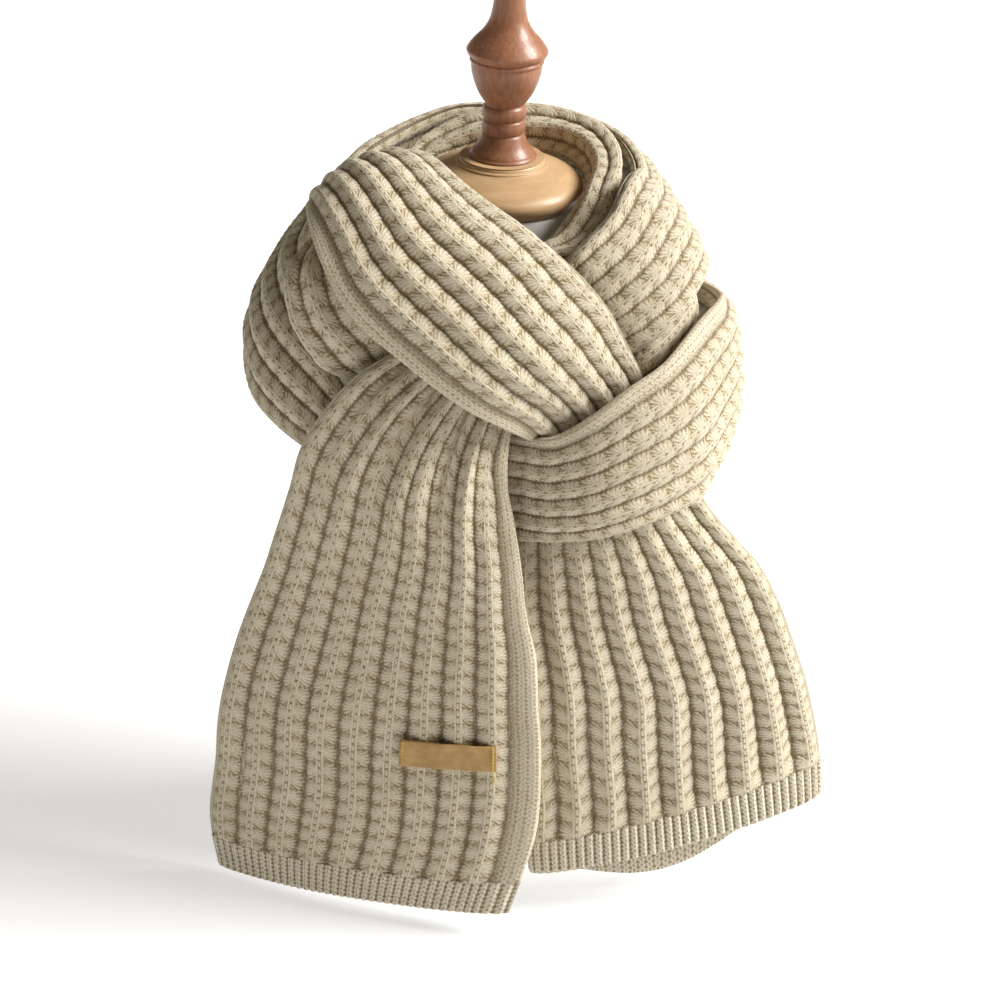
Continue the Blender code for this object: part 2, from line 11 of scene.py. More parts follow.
import bmesh
import bpy
import numpy as np
from mathutils import Matrix, Vector
from mathutils.bvhtree import BVHTree


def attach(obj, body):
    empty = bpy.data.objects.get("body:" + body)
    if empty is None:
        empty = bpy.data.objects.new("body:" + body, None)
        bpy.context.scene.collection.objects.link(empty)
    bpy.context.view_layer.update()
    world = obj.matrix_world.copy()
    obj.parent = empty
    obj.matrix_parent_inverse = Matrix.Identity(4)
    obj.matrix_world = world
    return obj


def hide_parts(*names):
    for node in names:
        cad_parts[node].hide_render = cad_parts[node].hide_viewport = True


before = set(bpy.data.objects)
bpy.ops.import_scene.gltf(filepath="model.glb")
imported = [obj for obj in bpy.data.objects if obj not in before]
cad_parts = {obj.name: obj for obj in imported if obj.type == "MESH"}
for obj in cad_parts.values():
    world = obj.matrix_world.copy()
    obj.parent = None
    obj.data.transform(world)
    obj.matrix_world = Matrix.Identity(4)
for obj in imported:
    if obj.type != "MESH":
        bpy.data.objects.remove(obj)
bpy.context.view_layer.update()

MM = 0.001

# ---------------------------------------------------------------- sizes

STATION_STEP = 25.0      # distance between sections along the scarf
ACROSS = 17              # points across the middle surface of a stretch
LAYER_GAP = 2.4          # space left between layers of cloth where they cross
FOLD_GAP = 0.8           # the same where one of them is a small fold
BODY_GAP = 0.6           # space left between the cloth and the form
PLEAT_AT = 0.25          # where one furrow of the gathers lies, from -1 to 1 across
PLEAT_PITCH = 0.5        # and the distance to the next
CAP_HEIGHT = 512.0       # height of the widest circle of the neck cap
CAP_RADIUS = 55.0
NECK_RADIUS = 50.0
NECK_TOP = 500.3         # the cap sits 0.3 over it
BACK_DROP = 33.0
BACK_DROP_STATIONS = 7
BACK_DROP_START = -0.82  # how far across the sag begins, from -1 at the outer edge
SETTLE_ROUNDS = 90
REACH = 42.0             # how far to either side a crossing layer is looked for
BODY_REACH = 60.0        # how near the form cloth is held off it
PUSH = 0.5               # share of an overlap that one round of settling takes up
BODY_PUSH = 0.7          # the same where cloth meets the form
CALM_START, CALM_END = 0.6, 0.9                # shares of the rounds over which softening fades
SOFTEN = 0.35
EDGE_POWER = 0.9         # how evenly the points of a section are spread across it
FACE_POWER = 0.62        # how soon a section reaches its full thickness from an edge
LABEL_LIFT = 0.4
LABEL_TOP, LABEL_BOTTOM = 0.735, 0.781        # places along the left tail
LABEL_LEFT, LABEL_RIGHT = 0.175, 0.735         # places across it, from -1 to 1

TURNED_SIDES = 96
BASE_ROUND = 3.0

# One row per section.  Columns: upper edge x, y, z, lower edge x, y, z, thickness,
# bow, pleat.  A separate program made the rows of ROUTE and FOLDS, from places and depths
# picked by eye; 43 of them were then changed or added by hand.
ROUTE = {
    "hem_right": (
        (255, -62, 80, 43, -114, 33, 28, 8, 0),
    ),
    "tail_right": (
        (251, -62, 107, 40, -115, 59, 26, 8, 0),
        (246, -62, 134, 38, -118, 95, 22, 8, 0),
        (241, -64, 152, 33, -122, 136, 19, 8, 0),
        (233, -66, 178, 30, -126, 180, 18, 8, 0),
        (221, -70, 210, 25, -125, 215, 18, 8, 0),
        (208, -75, 242, 20, -122, 245, 18, 8, 0),
        (194, -80, 271, 18, -120, 271, 18, 8, 0),
        (175, -84, 294, 18, -118, 293, 18, 8, 0),
        (157, -88, 317, 20, -114, 311, 18, 6, 0),
        (141, -92, 348, 24, -110, 332, 18, 4, 0),
        (124, -97, 381, 28, -107, 351, 18, 3, 0),
    ),
    "cross_front": (
        (109, -101, 411, 33, -106, 365, 18, 3, 0),
        (97, -106, 434, 22, -128, 385, 18, 5, 0),
        (84, -110, 456, 4, -148, 401, 20, 8, 0),
        (69, -110, 476, -21, -158, 420, 22, 12, 0),
        (50, -106, 494, -47, -156, 438, 22, 14, 0),
        (30, -100, 508, -69, -150, 453, 22, 14, 0),
        (9, -91, 521, -90, -140, 468, 22, 14, 0),
        (-12, -80, 529, -104, -126, 484, 22, 14, 0),
        (-32, -62, 537, -114, -106, 499, 22, 13, 0),
        (-50, -38, 537, -119, -80, 507, 22, 11, 0),
    ),
    "back_band": (
        (-62, -18, 522, -123, -35, 494, 22, 11, 0),
        (-66, 0, 512, -113, 0, 480, 22, 10, 0),
        (-67, 19, 496, -108, 31, 454, 22, 8, 0),
        (-65, 41, 480, -98, 61, 424, 22, 7, 0),
        (-55, 66, 466, -77, 92, 398, 22, 7, 0),
        (-34, 85, 456, -45, 111, 376, 22, 7, 0),
        (-3, 97, 448, -4, 120, 362, 22, 7, 0),
        (30, 99, 440, 36, 117, 354, 22, 7, 0),
        (66, 91, 433, 76, 105, 349, 22, 8, 0),
        (103, 69, 430, 117, 79, 346, 22, 8, 0),
        (131, 33, 434, 146, 36, 347, 22, 9, 0),
    ),
    "loop_right": (
        (142, -7, 441, 156, -8, 348, 22, 9, 0),
        (137, -36, 449, 159, -48, 354, 22, 9, 0),
        (128, -62, 450, 146, -75, 344, 22, 10, 0),
        (117, -90, 447, 135, -97, 333, 22, 11, 0),
        (105, -110, 438, 116, -114, 329, 22, 11, 0),
        (86, -124, 428, 93, -127, 323, 21, 10, 0),
        (64, -131, 411, 70, -132, 317, 19, 8, 0),
        (46, -128, 397, 47, -130, 312, 17, 5, 0),
        (28, -119, 387, 26, -123, 308, 16, 3, 0),
    ),
    "loop_left": (
        (1, -110, 382, -2, -114, 304, 16, 3, 0),
        (-32, -106, 390, -36, -112, 312, 16, 4, 0),
        (-62, -104, 406, -66, -112, 326, 16, 6, 0),
        (-85, -98, 427, -93, -112, 342, 18, 8, 0),
        (-93, -84, 445, -115, -106, 355, 20, 10, 0),
        (-103, -66, 456, -132, -92, 361, 22, 12, 0),
        (-110, -48, 462, -150, -68, 366, 22, 13, 0),
        (-114, -38, 464, -158, -51, 372, 22, 13, 0),
        (-118, -12, 467, -164, -17, 381, 22, 13, 0),
    ),
    "collar_back": (
        (-114, 13, 471, -159, 19, 390, 22, 12, 0),
        (-104, 40, 487, -143, 58, 402, 22, 11, 0),
        (-88, 61, 506, -121, 88, 412, 20, 11, 0),
        (-65, 78, 519, -91, 112, 419, 20, 10, 0),
        (-36, 90, 531, -52, 130, 424, 19, 9, 0),
        (-5, 95, 533, -7, 137, 428, 19, 9, 0),
        (26, 89, 534, 37, 129, 433, 18, 8, 0),
        (53, 75, 533, 76, 108, 438, 18, 8, 0),
        (74, 52, 530, 106, 75, 445, 18, 7, 0),
        (84, 23, 526, 125, 33, 452, 19, 7, 0),
    ),
    "collar_right": (
        (85, -7, 524, 131, -11, 456, 20, 6, 0),
        (78, -45, 534, 130, -55, 466, 20, 8, 0),
        (69, -70, 521, 120, -78, 457, 20, 8, 0),
        (54, -83, 507, 107, -90, 443, 18, 7, 0),
        (41, -87, 492, 86, -94, 428, 18, 5, 0),
    ),
    "tail_left": (
        (16, -88, 474, 53, -98, 415, 16, 4, 3),
        (-15, -96, 460, 29, -112, 403, 16, 4, 4),
        (-43, -110, 449, 15, -126, 393, 16, 5, 5),
        (-66, -126, 441, 14, -131, 377, 16, 6, 6),
        (-87, -132, 427, 15, -134, 355, 18, 7, 6),
        (-108, -132, 398, 19, -139, 336, 18, 8, 5),
        (-122, -130, 370, 24, -144, 315, 18, 9, 3),
        (-132, -124, 328, 29, -148, 289, 18, 10, 1),
        (-144, -117, 282, 34, -150, 262, 18, 10, 0),
        (-157, -111, 243, 41, -151, 232, 18, 10, 0),
        (-170, -106, 199, 44, -152, 201, 18, 10, 0),
        (-179, -102, 155, 48, -152, 165, 18, 10, 0),
        (-184, -98, 102, 50, -152, 120, 18, 10, 0),
        (-188, -95, 65, 47, -152, 84, 18, 9, 0),
    ),
    "hem_left": (
        (-187, -93, 35, 40, -151, 49, 18, 8, 0),
        (-183, -92, 10, 33, -150, 23, 18, 8, 0),
    ),
}

# Folds that show beside the stretches above.  The columns are the same.
FOLDS = {
    "cross_fold": (
        (-114, -66, 500, -102, -64, 502, 8, 1, 0),
        (-126, -85, 491, -101, -84, 495, 12, 2, 0),
        (-134, -103, 480, -96, -111, 486, 15, 4, 0),
        (-133, -112, 463, -87, -121, 470, 16, 4, 0),
        (-126, -118, 445, -74, -124, 457, 16, 4, 0),
        (-115, -120, 430, -62, -121, 446, 16, 4, 0),
        (-102, -117, 410, -50, -118, 433, 14, 3, 0),
    ),
    "collar_fold": (
        (110, 23, 471, 141, 30, 440, 18, 5, 0),
        (119, -28, 471, 146, -40, 430, 14, 9, 0),
        (113, -46, 465, 141, -62, 424, 14, 10, 0),
        (105, -62, 457, 131, -84, 414, 14, 10, 0),
        (94, -76, 450, 116, -101, 404, 16, 9, 0),
        (81, -81, 440, 98, -96, 394, 14, 5, 0),
    ),
    "collar_inner": (
        (-64, 12, 474, -80, 22, 486, 12, 3, 0),
        (-58, 34, 486, -74, 46, 500, 13, 4, 0),
        (-45, 50, 498, -59, 65, 516, 14, 4, 0),
        (-26, 58, 503, -34, 76, 528, 16, 6, 0),
        (-7, 61, 508, -10, 79, 536, 17, 7, 0),
        (11, 60, 510, 14, 79, 539, 17, 7, 0),
        (31, 53, 511, 43, 73, 537, 17, 7, 0),
        (47, 39, 511, 66, 55, 534, 17, 7, 0),
        (57, 21, 510, 79, 29, 530, 17, 7, 0),
        (61, 0, 508, 83, 0, 526, 17, 7, 0),
        (58, -21, 505, 79, -29, 521, 16, 7, 0),
        (48, -40, 499, 73, -60, 509, 16, 6, 0),
        (36, -55, 490, 58, -84, 497, 15, 5, 0),
        (22, -73, 482, 28, -92, 489, 15, 4, 0),
        (6, -82, 471, 7, -98, 475, 12, 3, 0),
    ),
}

# Crossings, as (outer stretch, inner stretch, share of the push that the outer one takes).
CROSSINGS = (
    ("cross_front", "collar_right", 0.7),
    ("cross_front", "tail_left", 0.8),
    ("cross_front", "loop_left", 0.8),
    ("cross_front", "cross_fold", 0.7),
    ("cross_front", "collar_inner", 0.7),
    ("collar_back", "back_band", 0.7),
    ("loop_left", "back_band", 0.7),
    ("collar_right", "back_band", 0.7),
    ("back_band", "collar_inner", 0.6),
    ("loop_right", "tail_right", 0.6),
    ("loop_right", "cross_front", 0.6),
    ("loop_right", "collar_right", 0.6),
    ("loop_right", "collar_fold", 0.5),
    ("tail_left", "loop_left", 0.7),
    ("tail_left", "loop_right", 0.7),
    ("tail_left", "cross_fold", 0.7),
    ("tail_left", "tail_right", 0.5),
    ("cross_fold", "loop_left", 0.6),
    ("collar_right", "collar_inner", 0.8),
    ("collar_back", "collar_inner", 0.8),
    ("tail_left", "collar_inner", 0.8),
    ("collar_right", "collar_fold", 0.5),
)

# Torso of the form, bottom to top.  Columns: height, half width, half depth.
TORSO = (
    (0.0, 106.0, 55.0),
    (40.0, 111.0, 63.0),
    (95.0, 108.0, 68.0),
    (150.0, 102.0, 69.0),
    (210.0, 108.0, 74.0),
    (265.0, 120.0, 79.0),
    (315.0, 129.0, 79.0),
    (360.0, 130.0, 74.0),
    (395.0, 129.0, 75.0),
    (418.0, 124.0, 73.0),
    (436.0, 112.0, 70.0),
    (452.0, 93.0, 64.0),
    (468.0, 69.0, 57.0),
    (482.0, NECK_RADIUS, NECK_RADIUS),
    (NECK_TOP, NECK_RADIUS, NECK_RADIUS),
)
TORSO_SIDES = 40

# Turned profiles, top to bottom down their outer side.  Columns: radius, height over CAP_HEIGHT.
CAP_PROFILE = (
    (0.0, 18.0), (25.6, 17.6), (27.4, 17.0), (28.4, 16.0), (28.7, 15.0), (29.1, 14.7), (30.0, 14.5),
    (30.7, 13.9), (31.0, 13.0), (36.0, 11.0), (44.0, 8.0), (50.5, 4.8), (54.0, 1.4), (CAP_RADIUS, -2.0),
    (53.6, -6.0), (50.4, -9.4), (45.0, -11.0), (0.0, -11.4),
)
FINIAL_PROFILE = (
    (0.0, 152.0), (5.4, 151.0), (9.6, 147.0), (11.4, 141.0), (10.2, 135.4), (9.4, 131.0),
    (10.2, 123.0), (11.2, 115.5), (12.9, 109.0), (16.8, 102.3), (22.6, 96.0), (26.4, 90.6),
    (26.6, 88.6), (25.6, 86.6), (24.2, 85.4), (23.7, 84.6), (24.3, 83.8), (24.4, 82.6), (23.6, 81.6),
    (23.2, 80.8), (23.3, 79.0), (22.8, 75.0), (21.2, 69.0), (18.3, 62.0), (14.8, 56.4), (12.7, 53.6),
    (13.9, 52.0), (14.8, 49.0), (14.4, 45.6), (13.2, 43.8), (14.0, 42.3), (14.6, 39.0), (14.1, 35.6),
    (13.1, 34.0), (14.0, 32.8), (15.4, 29.6), (17.6, 25.4), (20.4, 21.8), (21.4, 19.8), (21.2, 18.0),
    (0.0, 18.0),
)


# ---------------------------------------------------------------- route

def smooth_rows(rows, places):
    """Read a table of rows at fractional places along a smooth curve through them."""
    last = len(rows) - 1
    read = []
    for place in places:
        i = min(int(place), last - 1)
        f = place - i
        before = rows[max(i - 1, 0)] if i > 0 else 2 * rows[0] - rows[1]
        after = rows[i + 2] if i + 2 <= last else 2 * rows[last] - rows[last - 1]
        here, there = rows[i], rows[i + 1]
        read.append(0.5 * (2 * here + (there - before) * f
                           + (2 * before - 5 * here + 4 * there - after) * f ** 2
                           + (3 * here - before - 3 * there + after) * f ** 3))
    return np.array(read)


def unit(vectors):
    return vectors / np.maximum(np.linalg.norm(vectors, axis=-1, keepdims=True), 1e-9)


def stations(rows):
    """Places along a table, in rows, with even spacing of about STATION_STEP."""
    middle = (rows[:, 0:3] + rows[:, 3:6]) / 2
    run = np.concatenate([[0.0], np.cumsum(np.linalg.norm(np.diff(middle, axis=0), axis=1))])
    count = max(int(round(run[-1] / STATION_STEP)), 1)
    return np.interp(np.linspace(0.0, run[-1], count + 1), run, np.arange(len(rows)))


def middle_surface(rows):
    """Middle surface of a stretch as a grid, stations by ACROSS, and its thickness."""
    upper, lower = rows[:, None, 0:3], rows[:, None, 3:6]
    middle = (rows[:, 0:3] + rows[:, 3:6]) / 2
    travel = unit(np.gradient(middle, axis=0))
    out = unit(np.cross(travel, rows[:, 3:6] - rows[:, 0:3]))[:, None, :]
    u = np.linspace(-1.0, 1.0, ACROSS)[None, :, None]
    bow, pleat = rows[:, 7][:, None, None], rows[:, 8][:, None, None]
    gather = -np.cos(2 * math.pi * (u - PLEAT_AT) / PLEAT_PITCH)
    swell = (bow + pleat * gather) * (1 - u ** 2)
    return upper + (lower - upper) * (u + 1) / 2 + out * swell, rows[:, 6]


def outward(grid):
    """Normals of a middle surface, on its visible side."""
    return unit(np.cross(np.gradient(grid, axis=0), np.gradient(grid, axis=1)))


def grid_tree(grid):
    n, m = grid.shape[:2]
    faces = [(i * m + j, i * m + j + 1, (i + 1) * m + j + 1, (i + 1) * m + j)
             for i in range(n - 1) for j in range(m - 1)]
    return BVHTree.FromPolygons([Vector(p) for p in grid.reshape(-1, 3)], faces)


def lay_route():
    """Middle surfaces of the whole scarf, with the first and last station of each stretch."""
    rows = np.array([row for table in ROUTE.values() for row in table], dtype=float)
    ends = np.cumsum([len(table) for table in ROUTE.values()]).tolist()
    ends[-1] -= 1
    all_rows, ranges = [], {}
    first = count = 0
    for name, end in zip(ROUTE, ends):
        places = first + stations(rows[first:end + 1])
        read = smooth_rows(rows, places)
        if count:
            read = read[1:]
        ranges[name] = (count - 1 if count else 0, count + len(read) - 1)
        all_rows.append(read)
        count += len(read)
        first = end
    grid, thick = middle_surface(np.concatenate(all_rows))
    return grid, thick, ranges


def soften(field, strength):
    """Average a displacement field with its neighbours along and across a stretch."""
    padded = np.pad(field, ((1, 1), (1, 1), (0, 0)), mode="edge")
    along = (padded[:-2, 1:-1] + padded[2:, 1:-1]) / 2
    over = (padded[1:-1, :-2] + padded[1:-1, 2:]) / 2
    return field * (1 - strength) + (along + over) / 2 * strength


def settle(grid, thick, ranges, folds):
    """Part the layers where they cross, the outer one outward and the inner one inward."""
    sheets = {name: (grid, thick, a, b) for name, (a, b) in ranges.items()}
    for name, (fold_grid, fold_thick) in folds.items():
        sheets[name] = (fold_grid, fold_thick, 0, len(fold_grid) - 1)
    fields = {id(s[0]): np.zeros_like(s[0]) for s in sheets.values()}
    base = {id(s[0]): s[0].copy() for s in sheets.values()}
    body = torso_tree()
    for turn in range(SETTLE_ROUNDS):
        pushes = {key: np.zeros_like(field) for key, field in fields.items()}
        for over, under, share in CROSSINGS:
            g_over, t_over, a, b = sheets[over]
            g_under, t_under, c, d = sheets[under]
            gap = FOLD_GAP if over in FOLDS or under in FOLDS else LAYER_GAP
            tree = grid_tree(g_under[c:d + 1])
            normals = outward(g_over[a:b + 1])
            for i in range(a, b + 1):
                for j in range(ACROSS):
                    n = normals[i - a, j]
                    point = g_over[i, j]
                    hit, _, face, far = tree.ray_cast(Vector(point + n * REACH), Vector(-n), 2 * REACH)
                    if hit is None:
                        continue
                    row = c + face // (ACROSS - 1)
                    column = face % (ACROSS - 1)
                    need = (t_over[i] + t_under[row]) / 2 + gap
                    excess = REACH - far + need
                    if excess <= 0:
                        continue
                    pushes[id(g_over)][i, j] += n * excess * share * PUSH
                    for r in (row, row + 1):
                        for k in (column, column + 1):
                            pushes[id(g_under)][r, k] -= n * excess * (1 - share) * (PUSH / 2)
        for name, (g, t, a, b) in sheets.items():
            for i in range(a, b + 1):
                for j in range(ACROSS):
                    near, normal, _, _ = body.find_nearest(Vector(g[i, j]), BODY_REACH)
                    if near is None:
                        continue
                    side = np.array(Vector(g[i, j]) - near) @ np.array(normal)
                    depth = t[i] / 2 + BODY_GAP - side
                    if depth > 0:
                        pushes[id(g)][i, j] += np.array(normal) * depth * BODY_PUSH
        calm = np.interp(turn / SETTLE_ROUNDS, (CALM_START, CALM_END), (SOFTEN, 0.0))
        for key in fields:
            fields[key] = soften(fields[key] + pushes[key], calm)
        for g in {id(s[0]): s[0] for s in sheets.values()}.values():
            g[:] = base[id(g)] + fields[id(g)]


def torso_rings():
    rings = []
    for height, half_width, half_depth in TORSO:
        turn = [2 * math.pi * k / TORSO_SIDES for k in range(TORSO_SIDES)]
        rings.append([(half_width * math.cos(t), half_depth * math.sin(t), height) for t in turn])
    return rings


def torso_tree():
    points = [Vector(p) for ring in torso_rings() for p in ring]
    n = TORSO_SIDES
    faces = [(r * n + k, r * n + (k + 1) % n, (r + 1) * n + (k + 1) % n, (r + 1) * n + k)
             for r in range(len(TORSO) - 1) for k in range(n)]
    return BVHTree.FromPolygons(points, faces)


def section(middle, normals, half, inset, steps):
    """Closed outline of one section, from the upper edge over the visible side and back."""
    turn = np.linspace(0.0, 2 * math.pi, steps, endpoint=False)
    width = np.linalg.norm(np.diff(middle, axis=0), axis=1).sum()
    u = -np.sign(np.cos(turn)) * np.abs(np.cos(turn)) ** EDGE_POWER * (1 - 2 * inset / width)
    rise = np.sign(np.sin(turn)) * np.abs(np.sin(turn)) ** FACE_POWER
    spot = (u + 1) / 2 * (ACROSS - 1)
    low = np.minimum(spot.astype(int), ACROSS - 2)
    f = (spot - low)[:, None]
    line = middle[low] * (1 - f) + middle[low + 1] * f
    lift = unit(normals[low] * (1 - f) + normals[low + 1] * f)
    return line + lift * (rise * half)[:, None]


def read_ring(ring, places):
    low = places.astype(int)
    f = (places - low)[:, None]
    return ring[low % len(ring)] * (1 - f) + ring[(low + 1) % len(ring)] * f


def ring_outward(outline, travel):
    """Directions that point out of an outline, square to the scarf's travel."""
    along = np.roll(outline, -1, axis=0) - np.roll(outline, 1, axis=0)
    return unit(np.cross(travel[None, :], along))


def hang_back(ring, middle, normal, travel, drop):
    """Let the back of a section hang lower than its front, most of all near its middle."""
    across = middle[-1] - middle[0]
    u = 2 * (ring - middle[0]) @ across / (across @ across) - 1
    line = np.array([np.interp(u, np.linspace(-1, 1, ACROSS), middle[:, k]) for k in range(3)]).T
    behind = ((ring - line) @ normal) < 0
    sag = np.sin(math.pi * np.clip((u - BACK_DROP_START) / (1 - BACK_DROP_START), 0, 1)) ** 1.5
    return ring - travel[None, :] * (behind * sag * drop)[:, None]


def square_to(grid, normals, travel):
    """Directions along the scarf that stand square to each section."""
    across = grid[:, -1] - grid[:, 0]
    square = unit(np.cross(across, normals.mean(axis=1)))
    return square * np.sign((square * travel).sum(axis=1))[:, None]


# ---------------------------------------------------------------- knit

ROW_STEP = 1.65          # distance between rows of points along the scarf
FINE_PER_RIB = 20        # points across a rib on the side that shows
COARSE_PER_RIB = 7       # and on the side that faces the form
OUTLINE_STEPS = 200      # points round a smooth section
RIB_WIDTH = 22.0         # a rib of the knit, laid flat
RIB_RISE = 0.20          # height of a rib as a share of its width
RIB_POWER = 1.5          # how steeply a rib falls to its furrow
CREST_SINK = 1.0         # depth of the crests under the smooth section
HEM_FLATTEN = 0.65       # share of their height that ribs lose at a hem
WAVE_SIZE, WAVE_HEIGHT = 34.0, 0.8             # slow unevenness of the whole cloth
ROLL_OUTER = 2 / 3       # share of a plain roll's stitches that lies on the outer side
ROLL_STEPS, TURN_STEPS = 16, 5
RIB_WANDER = 0.0045      # how far ribs stray from straight, as a share of the width
ROW_WANDER = 0.8         # how far rows of stitches stray from straight
PLEAT_DEPTH = 2.4        # depth of the pleats where the left tail comes out
PLEAT_RUN = 230.0
FAN_REPEAT = 14.5        # distance from one fan of long stitches to the next
FAN_BEND = 0.7           # how far along the stitches of a fan curve back
FAN_SKEW = 2.8           # how far the fans of one half of a rib lie behind those of the other
FAN_SHARE = 0.75         # share of a fan's height that is in the mesh
SHARP = 1000.0           # turns a clamp into a step
CHAIN_REPEAT = 6.2
CHAIN_HIGH = 1.7
HEM_COLUMN = RIB_WIDTH / 4
PLAIN_COLUMN = RIB_WIDTH / 6
STITCH_REPEAT = 3.8
RIM_RADIUS = 2.4
HEM_RISE, HEM_STITCH, HEM_SINK = 1.7, 0.25, 1.0
HEM_POWER, HEM_SHADE_POWER = 0.7, 0.3          # how round a hem's ribs are, in form and in shade
RIB_FADE = 16.0          # over this length the ribs flatten towards a hem
HEM_WALL = 4.6
RIM_STEPS = 5
WALL = 7.6               # from the crest of a rib to the inside of the tube
LEAST_SLIT = 1.2
# Painted shade: the crest value given to the inside of the tube and to a hem's rounded rim, which paints
# them part dark.
INSIDE_CREST = 0.45
INSIDE_STEP = 12.0
FOLD_END = 22.0          # over this length the end of a fold closes

# Ribs over the outer side and over the inner side.
LAYOUTS = {"tail": (9, 9), "wrap": (6, 6), "fold": (3, 3)}

# Plain rolls down the two edges, as shares of the width: upper edge, lower edge.
NO_ROLL = 0.006
ROLLS = {
    "cross_front": (NO_ROLL, 0.14),
    "loop_right": (0.15, NO_ROLL),
    "tail_left": (NO_ROLL, 0.105),
    "hem_left": (NO_ROLL, 0.105),
}
ROLL_CHANGE = 2          # stations from the end of a stretch over which a roll may change

# Long stitches of a fan, from the middle of the rib to its furrow.  Columns: start across
# and along, end across and along, radius at the start and at the end.
FAN = (
    (1.8, 0.2, 8.2, -3.5, 1.0, 1.3),
    (1.7, 0.8, 9.2, -0.6, 1.1, 1.5),
    (1.7, 1.8, 9.8, 2.4, 1.1, 1.6),
    (1.8, 2.9, 9.2, 5.3, 1.1, 1.5),
    (1.9, 4.4, 8.0, 8.1, 1.0, 1.3),
    (2.3, 12.6, 5.6, 10.6, 0.8, 1.0),
    (2.3, 7.4, 4.4, 9.0, 0.8, 0.9),
)

# The chain down the middle of a rib: its two threads, and what lies between its holes.
CHAIN = (
    (1.9, 0.0, 1.9, CHAIN_REPEAT, 1.0, 1.0),
    (0.0, 1.5, 0.0, CHAIN_REPEAT - 1.5, 1.0, 1.0),
)

# One side of a plain V stitch, in columns across and stitches along.
STITCH = (0.08, -0.75, 0.30, 0.10, 0.17, 0.21)


class Plain:
    """The sums of a stitch, on arrays of points."""
    biggest = staticmethod(np.maximum)
    root = staticmethod(np.sqrt)
    size = staticmethod(np.abs)

    @staticmethod
    def bound(value):
        return np.clip(value, 0.0, 1.0)

    @staticmethod
    def fraction(value):
        return value - np.floor(value)


class Wire:
    """A shader socket that can be added, multiplied and so on."""
    tree = None

    def __init__(self, socket):
        self.socket = socket

    @classmethod
    def node(cls, kind, settings=(), sockets=(), out=0):
        made = cls.tree.nodes.new(kind)
        for key, value in dict(settings).items():
            setattr(made, key, value)
        for key, value in dict(sockets).items():
            if isinstance(value, Wire):
                cls.tree.links.new(value.socket, made.inputs[key])
            else:
                made.inputs[key].default_value = value
        return Wire(made.outputs[out])

    @classmethod
    def sum(cls, operation, *values):
        return cls.node("ShaderNodeMath", {"operation": operation}, enumerate(values))

    def __add__(self, other):
        return Wire.sum("ADD", self, other)

    def __sub__(self, other):
        return Wire.sum("SUBTRACT", self, other)

    def __rsub__(self, other):
        return Wire.sum("SUBTRACT", other, self)

    def __mul__(self, other):
        return Wire.sum("MULTIPLY", self, other)

    def __truediv__(self, other):
        return Wire.sum("DIVIDE", self, other)

    __radd__ = __add__
    __rmul__ = __mul__

    @staticmethod
    def biggest(a, b):
        return Wire.sum("MAXIMUM", a, b)

    @staticmethod
    def root(value):
        return Wire.sum("SQRT", value)

    @staticmethod
    def size(value):
        return Wire.sum("ABSOLUTE", value)

    @staticmethod
    def fraction(value):
        return Wire.sum("FRACT", value)

    @staticmethod
    def bound(value):
        return Wire.node("ShaderNodeClamp", {}, {"Value": value})


def strand(kind, x, y, row, shift=0.0):
    """Squared height over one strand of yarn, from its start to its end."""
    x0, y0, x1, y1, thin, thick = row
    dx, dy = x1 - x0, y1 - y0
    x, y = x - x0, y - (y0 + shift)
    along = kind.bound((x * dx + y * dy) * (1 / (dx * dx + dy * dy)))
    x, y = x - along * dx, y - along * dy
    radius = along * (thick - thin) + thin
    return radius * radius - x * x - y * y


def fan_stitches(kind, rib, along):
    """Height of the stitches on a rib; rib counts ribs across and along is in millimetres."""
    half = (kind.fraction(rib) - 0.5) * RIB_WIDTH
    side = kind.size(half)
    bent = along - side * (1.0 - side * (1 / RIB_WIDTH)) * FAN_BEND
    bent = bent + kind.bound(half * SHARP) * FAN_SKEW
    place = kind.fraction(bent / FAN_REPEAT) * FAN_REPEAT
    high = 0.0
    for row in FAN:
        reach = max(row[4:])
        for shift in (-FAN_REPEAT, 0.0, FAN_REPEAT):
            low, top = sorted((row[1] + shift, row[3] + shift))
            if top > -reach and low < FAN_REPEAT + reach:
                high = kind.biggest(high, strand(kind, side, place, row, shift))
    link = kind.fraction(along / CHAIN_REPEAT) * CHAIN_REPEAT
    for row in CHAIN:
        high = kind.biggest(high, strand(kind, side, link, row) * CHAIN_HIGH)
    return kind.root(high)


def column_stitches(kind, across, along, pitch):
    """Height of columns of V stitches, for the plain roll and the ribs of a hem."""
    x = kind.size(kind.fraction(across / pitch) - 0.5)
    y = kind.fraction(along / STITCH_REPEAT)
    high = 0.0
    for shift in (0.0, 1.0):
        high = kind.biggest(high, strand(kind, x, y, STITCH, shift))
    return kind.root(high) * pitch


def drift(points, size, amount):
    """Slow unevenness of the cloth, the same on every run."""
    p = points / size
    wave = np.sin(p[:, 0] * 1.7 + 1.3 * np.sin(p[:, 1] * 1.1)) + np.sin(p[:, 1] * 2.3 + p[:, 2] * 1.9)
    wave += np.sin(p[:, 2] * 2.9 - p[:, 0] * 1.3 + 2.0)
    return wave * amount / 3


def row_places(phase, run):
    """Running length for the rows of stitches, which stray a little across the ribs."""
    return run + ROW_WANDER * (np.sin(1.9 * phase + run / 23.0) + np.sin(0.8 * phase - run / 41.0))


